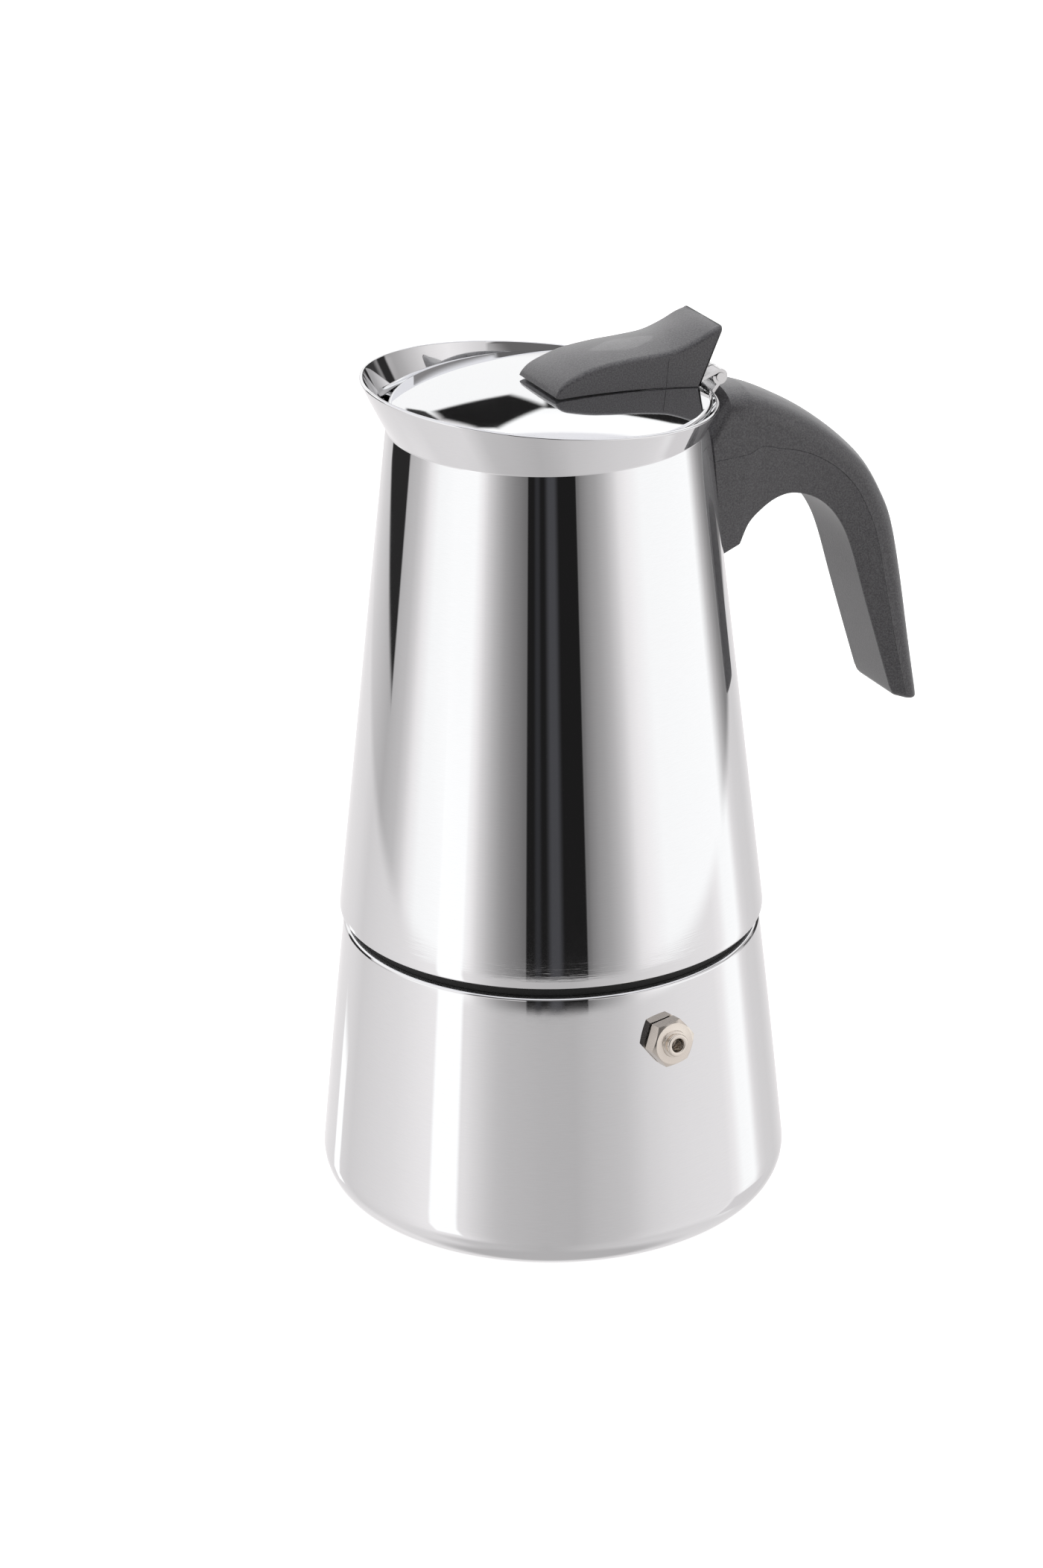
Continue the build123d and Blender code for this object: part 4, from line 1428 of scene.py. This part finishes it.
@dataclass(frozen=True)
class Tent:
    """White light tent: what polished pieces mirror, and the plain light on the rest."""

    wall: tuple[Point, ...] = (
        (-180, 1.0), (-165, 1.0), (-160, 0.93), (-156, 0.83), (-150, 0.71), (-144, 0.60),
        (-138, 0.52), (-130, 0.43), (-96, 0.43), (-94, 0.50), (-89, 0.58), (-84, 0.63), (-78, 0.71),
        (-72, 0.81), (-67, 0.90), (-61, 0.945), (-50, 0.985), (-4, 1.0), (4, 0.77), (10, 0.63),
        (16, 0.52), (46, 0.52), (54, 0.93), (86, 0.89), (98, 0.83), (131, 0.69), (145, 0.75),
        (151, 0.82), (157, 0.92), (165, 0.98), (180, 1.0),
    )
    table: tuple[Point, ...] = (
        (-180, 0.93), (-161, 0.89), (-155, 0.84), (-149, 0.79), (-144, 0.755), (-138, 0.735),
        (-120, 0.71), (-105, 0.705), (-96, 0.735), (-84, 0.76), (-79, 0.775), (-73, 0.805),
        (-67, 0.835), (-55, 0.865), (-43, 0.88), (-20, 0.895), (-14, 0.93), (-8, 0.99), (2, 1.0),
        (7, 0.90), (10, 0.86), (16, 0.83), (28, 0.82), (34, 0.835), (46, 0.88), (58, 0.93),
        (75, 0.94), (90, 0.89), (110, 0.86), (122, 0.82), (157, 0.875), (180, 0.93),
    )
    under: tuple[Point, ...] = (      # what the flare's underside shows
        (-180, 0.82), (-170, 0.77), (-160, 0.753), (-150, 0.745), (-140, 0.73), (-120, 0.70),
        (-110, 0.715), (-100, 0.737), (-90, 0.765), (-80, 0.78), (-70, 0.796), (-60, 0.81),
        (-50, 0.824), (-20, 0.847), (0, 0.85), (80, 0.89), (110, 0.905), (130, 0.85), (170, 0.86),
        (180, 0.82),
    )
    sky: tuple[Point, ...] = (        # what the flare's inside shows
        (-180, 0.93), (-100, 0.80), (-74, 0.827), (-68, 0.847), (-56, 0.906), (-47, 0.937),
        (-31, 0.88), (-20, 0.79), (-13, 0.74), (-7, 0.686), (0, 0.65), (12, 0.66), (30, 0.90),
        (54, 0.98), (90, 0.98), (180, 0.93),
    )
    cards: tuple[Card, ...] = (
        # a black stripe in front, with two paler streaks
        Card(sheet(-129.4, -97.0, -18.0, 21.0), 0.11, on_table=True),
        Card(sheet(-124.6, -121.6, -18.0, 21.0), 0.19, (1.2, 0.4), (1.0, 1.1), on_table=True),
        Card(sheet(-117.0, -110.5, -18.0, 21.0), 0.27, (2.0, 0.4), (1.0, 1.1), on_table=True),
        # dark, behind the pot and beside it
        Card(sheet(105.0, 133.0, -14.95, 14.0), 0.16, (1.0, 0.2)),
        Card(sheet(21.0, 47.0, -17.0, 14.0), 0.22, (3.0, 0.8)),
        # white, low on the left and behind
        Card(sheet(-179.0, -164.0, -34.0, -12.0), 1.02, (1.2, 2.0)),
        Card(sheet(103.0, 111.0, -30.0, -21.8), 1.02, (1.0, 0.4)),
        # small and dark, on the right
        Card(sheet(7.0, 17.0, -5.0, 6.0), 0.17, (1.5, 1.0)),
        # grey, high up
        Card(sheet(-75.0, -2.0, 28.0, 38.0), 0.53, (0.6, 2.0)),
        Card(sheet(-165.0, -75.0, 17.0, 46.0), 0.40, (3.0, 2.0)),
        Card(sheet(69.0, 90.0, 24.5, 34.0), 0.87, (1.5, 1.5)),
        # pale, low on the right
        Card(sheet(-15.0, 15.0, -42.0, -24.0), 0.825, (2.0, 1.5)),
        # the black shape that the lid shows
        Card(
            ((64.1, 24.9), (67.2, 30.3), (68.5, 29.6), (70.1, 26.0), (70.2, 23.2), (66.0, 20.5)),
            0.11,
            (0.3, 0.3),
        ),
        Card(((54.5, 28.0), (64.2, 25.3), (64.2, 22.0), (54.5, 22.0)), 0.12, (0.2, 0.2)),
        Card(
            ((70.3, 26.0), (70.9, 25.6), (71.5, 22.0), (71.2, 20.8), (70.6, 22.8)),
            0.20,
            (0.1, 0.1),
        ),
    )
    table_edge: float = -15.6      # height of the table's edge beside the pot, in degrees
    table_bow: float = 2.7         # how much higher the edge stands in front, and lower behind
    edge_blur: float = 0.25        # half the edge's blur
    front: float = -116.0          # azimuth of the front
    under_zone: Point = (-36.0, -48.0)     # heights where the table gives way to the flare's greys
    foot_zone: Point = (-56.0, -72.0)      # heights where it falls to the grey beneath the pot
    foot_grey: float = 0.70
    sky_zone: Point = (2.0, 6.0)           # heights where the wall gives way to the sky
    white_zone: Point = (24.0, 28.5)       # heights where the sky turns white
    white: float = 1.02
    top_zone: Point = (31.6, 32.4)         # heights where it falls to the grey above the lid
    top_grey: float = 0.91
    top_tint: Point = (0.995, 1.03)
    untinted: float = 0.97         # greys above this one take no tint
    mirror: float = 0.95           # share of the light that a polished face gives back
    plain_low: float = 0.38        # light from the horizon on matt pieces
    plain_high: float = 1.2        # light added from straight above on matt pieces
    plain_power: float = 4.0       # how fast that light falls off away from straight above
    lamp: Card = Card(sheet(8.0, 88.0, 16.0, 56.0), 4.1, (14.0, 12.0))     # lights matt pieces

    def build(self) -> None:
        """Make the world."""
        world = bpy.data.worlds.new("LightTent")
        bpy.context.scene.world = world
        world.use_nodes = True
        graph = Graph(world.node_tree)
        background = world.node_tree.nodes["Background"]
        ray = graph.vector("NORMALIZE", graph.add("TexCoord").outputs["Generated"])
        split = graph.add("SeparateXYZ", {0: ray}).outputs
        azimuth = graph.math("DEGREES", graph.math("ARCTAN2", split[1], split[0]))
        height = graph.math("DEGREES", graph.math("ARCSINE", split[2]))
        table = graph.blend(
            graph.ease(height, *self.under_zone),
            self.ramp(graph, azimuth, self.table),
            self.ramp(graph, azimuth, self.under),
        )
        table = graph.blend(graph.ease(height, *self.foot_zone), table, self.tone(self.foot_grey))
        turned = graph.math("RADIANS", graph.math("SUBTRACT", azimuth, self.front))
        ahead = graph.math("COSINE", turned)
        edge = graph.math("MULTIPLY_ADD", ahead, self.table_bow, self.table_edge)
        over_edge = graph.math("SUBTRACT", height, edge)
        above = graph.ease(over_edge, -self.edge_blur, self.edge_blur)
        tent = graph.blend(above, table, self.ramp(graph, azimuth, self.wall))
        sky = self.ramp(graph, azimuth, self.sky)
        tent = graph.blend(graph.ease(height, *self.sky_zone), tent, sky)
        tent = graph.blend(graph.ease(height, *self.white_zone), tent, self.tone(self.white))
        top = self.tone(self.top_grey, self.top_tint)
        tent = graph.blend(graph.ease(height, *self.top_zone), tent, top)
        place = graph.add("CombineXYZ", {0: azimuth, 1: height, 2: 1.0}).outputs[0]
        for card in self.cards:
            mask = self.mask(graph, place, card)
            mask = graph.math("MULTIPLY", mask, above) if card.on_table else mask
            tent = graph.blend(mask, tent, self.tone(card.grey, card.tint))
        lift = graph.math("POWER", graph.math("MAXIMUM", split[2], 0.0), self.plain_power)
        plain = graph.math("MULTIPLY_ADD", lift, self.plain_high, self.plain_low)
        lamp = self.mask(graph, place, self.lamp)
        plain = graph.math("MULTIPLY_ADD", lamp, self.lamp.grey, plain)
        path = graph.add("LightPath").outputs
        shiny = graph.math("MAXIMUM", path["Is Glossy Ray"], path["Is Transmission Ray"])
        matt = graph.add("CombineXYZ", {0: plain, 1: plain, 2: plain}).outputs[0]
        light = graph.blend(shiny, matt, tent)
        light = graph.blend(path["Is Camera Ray"], light, (1.0, 1.0, 1.0, 1.0))
        world.node_tree.links.new(light, background.inputs["Color"])

    def tone(self, level: float, tint: Point = (0.975, 0.98)) -> tuple[float, float, float, float]:
        """Light of a card that a polished piece shows as this grey.

        Args:
            level: The grey, from 0 to 1; whites stay untinted.
            tint: Green and blue, as shares of red.

        Returns:
            Colour of the light.
        """
        light = grey(level) / self.mirror
        green, blue = (1.0, 1.0) if level > self.untinted else tint
        return (light, light * green, light * blue, 1.0)

    def ramp(self, graph: Graph, azimuth: Socket, stops: Sequence[Point]) -> Socket:
        """Run a band of greys round the pot.

        Args:
            graph: The world's graph.
            azimuth: Azimuth of the ray, in degrees.
            stops: Azimuth and grey of each stop.

        Returns:
            The band's colour.
        """
        share = graph.math("DIVIDE", graph.math("ADD", azimuth, 180.0), 360.0)
        node = graph.add("ValToRGB", {0: share})
        elements = node.color_ramp.elements
        for _ in range(len(stops) - 2):
            elements.new(0.5)
        for element, (angle, level) in zip(elements, stops):
            element.position = (angle + 180) / 360
            element.color = self.tone(level)
        return node.outputs[0]

    def mask(self, graph: Graph, place: Socket, card: Card) -> Socket:
        """Mark where a card stands, from how far inside each of its edges a place lies.

        Args:
            graph: The world's graph.
            place: The ray's azimuth and height, in degrees, and 1.
            card: The card.

        Returns:
            A number from 0 outside the card to 1 inside it.
        """
        corners = [Vector(corner) for corner in card.corners]
        pairs = list(zip(corners, corners[1:] + corners[:1]))
        side = 1.0 if sum(a.cross(b) for a, b in pairs) > 0 else -1.0
        depth = None
        for a, b in pairs:
            along = (b - a).normalized()
            inwards = Vector((-along.y, along.x)) * side
            blur = abs(inwards.x) * card.blur[0] + abs(inwards.y) * card.blur[1]
            edge = (inwards.x / blur, inwards.y / blur, -inwards.dot(a) / blur)
            gap = graph.add("VectorMath", {0: place, 1: edge}, operation="DOT_PRODUCT").outputs[1]
            depth = graph.math("MINIMUM", depth, gap) if depth else gap
        return graph.ease(depth, -1.0, 1.0)


@dataclass(frozen=True)
class Studio:
    """Floor and camera."""

    floor_half: float = 1.6          # metres
    floor_drop: float = 0.00015      # metres below the pot's foot
    floor_tone: float = 0.50
    floor_lift: float = 0.80         # brightness the camera sees on top of the lit floor
    azimuth: float = -26.0
    elevation: float = 23.073
    roll: float = 0.481
    distance: float = 1.07082        # metres from the point looked at
    look_z: float = 0.09468
    lens: float = 111.552            # millimetres
    sensor: float = 36.0             # millimetres
    shift: float = -0.018325
    clip: Point = (0.01, 20.0)       # metres

    def build(self) -> None:
        """Lay the floor and set up the camera and the view."""
        self.lay_floor()
        self.set_camera()
        bpy.context.scene.view_settings.view_transform = "Standard"

    def lay_floor(self) -> None:
        """Lay a plain pale floor that keeps the pot's soft shadow."""
        clear_bench()
        place = (0, 0, -self.floor_drop)
        bpy.ops.mesh.primitive_plane_add(size=2 * self.floor_half, location=place)
        floor = bpy.context.object
        floor.name = "floor"
        material, graph, shader = new_material("PaleFloor")
        tone = self.floor_tone
        shader.inputs["Base Color"].default_value = (tone, tone, tone, 1.0)
        shader.inputs["Roughness"].default_value = 1.0
        shader.inputs["Specular IOR Level"].default_value = 0.0
        seen = graph.add("LightPath").outputs["Is Camera Ray"]
        glow = graph.math("MULTIPLY", seen, self.floor_lift)
        graph.tree.links.new(glow, shader.inputs["Emission Strength"])
        shader.inputs["Emission Color"].default_value = (1.0, 1.0, 1.0, 1.0)
        floor.data.materials.append(material)
        floor.visible_glossy = False

    def set_camera(self) -> None:
        """Stand the camera where it sees the pot from the front left, from above."""
        a, e, r = radians(self.azimuth), radians(self.elevation), radians(self.roll)
        back = Vector((sin(a) * cos(e), -cos(a) * cos(e), sin(e)))
        right = (-back).cross(Vector((0, 0, 1))).normalized()
        up = right.cross(-back)
        across = right * cos(r) - up * sin(r)
        upright = right * sin(r) + up * cos(r)
        camera = bpy.data.objects.new("camera", bpy.data.cameras.new("camera"))
        bpy.context.scene.collection.objects.link(camera)
        turn_matrix = Matrix((across, upright, back)).transposed()
        place = back * self.distance + Vector((0, 0, self.look_z))
        camera.matrix_world = Matrix.Translation(place) @ turn_matrix.to_4x4()
        camera.data.lens = self.lens
        camera.data.sensor_width = self.sensor
        camera.data.shift_x = self.shift
        camera.data.clip_start, camera.data.clip_end = self.clip
        bpy.context.scene.camera = camera


def main() -> None:
    """Build the pot's looks round its frame, in order."""
    logging.basicConfig(level=logging.INFO, format="%(message)s")
    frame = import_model()
    nodes = frame["nodes"]
    valve_axis = Axis()
    finishes = Finishes(valve_axis)
    for part in (Boiler(), Valve(valve_axis), Seal(), Jug(), Lid(), Handle()):
        part.build(finishes, nodes)
    Tent().build()
    Studio().build()


if __name__ == "__main__":
    main()
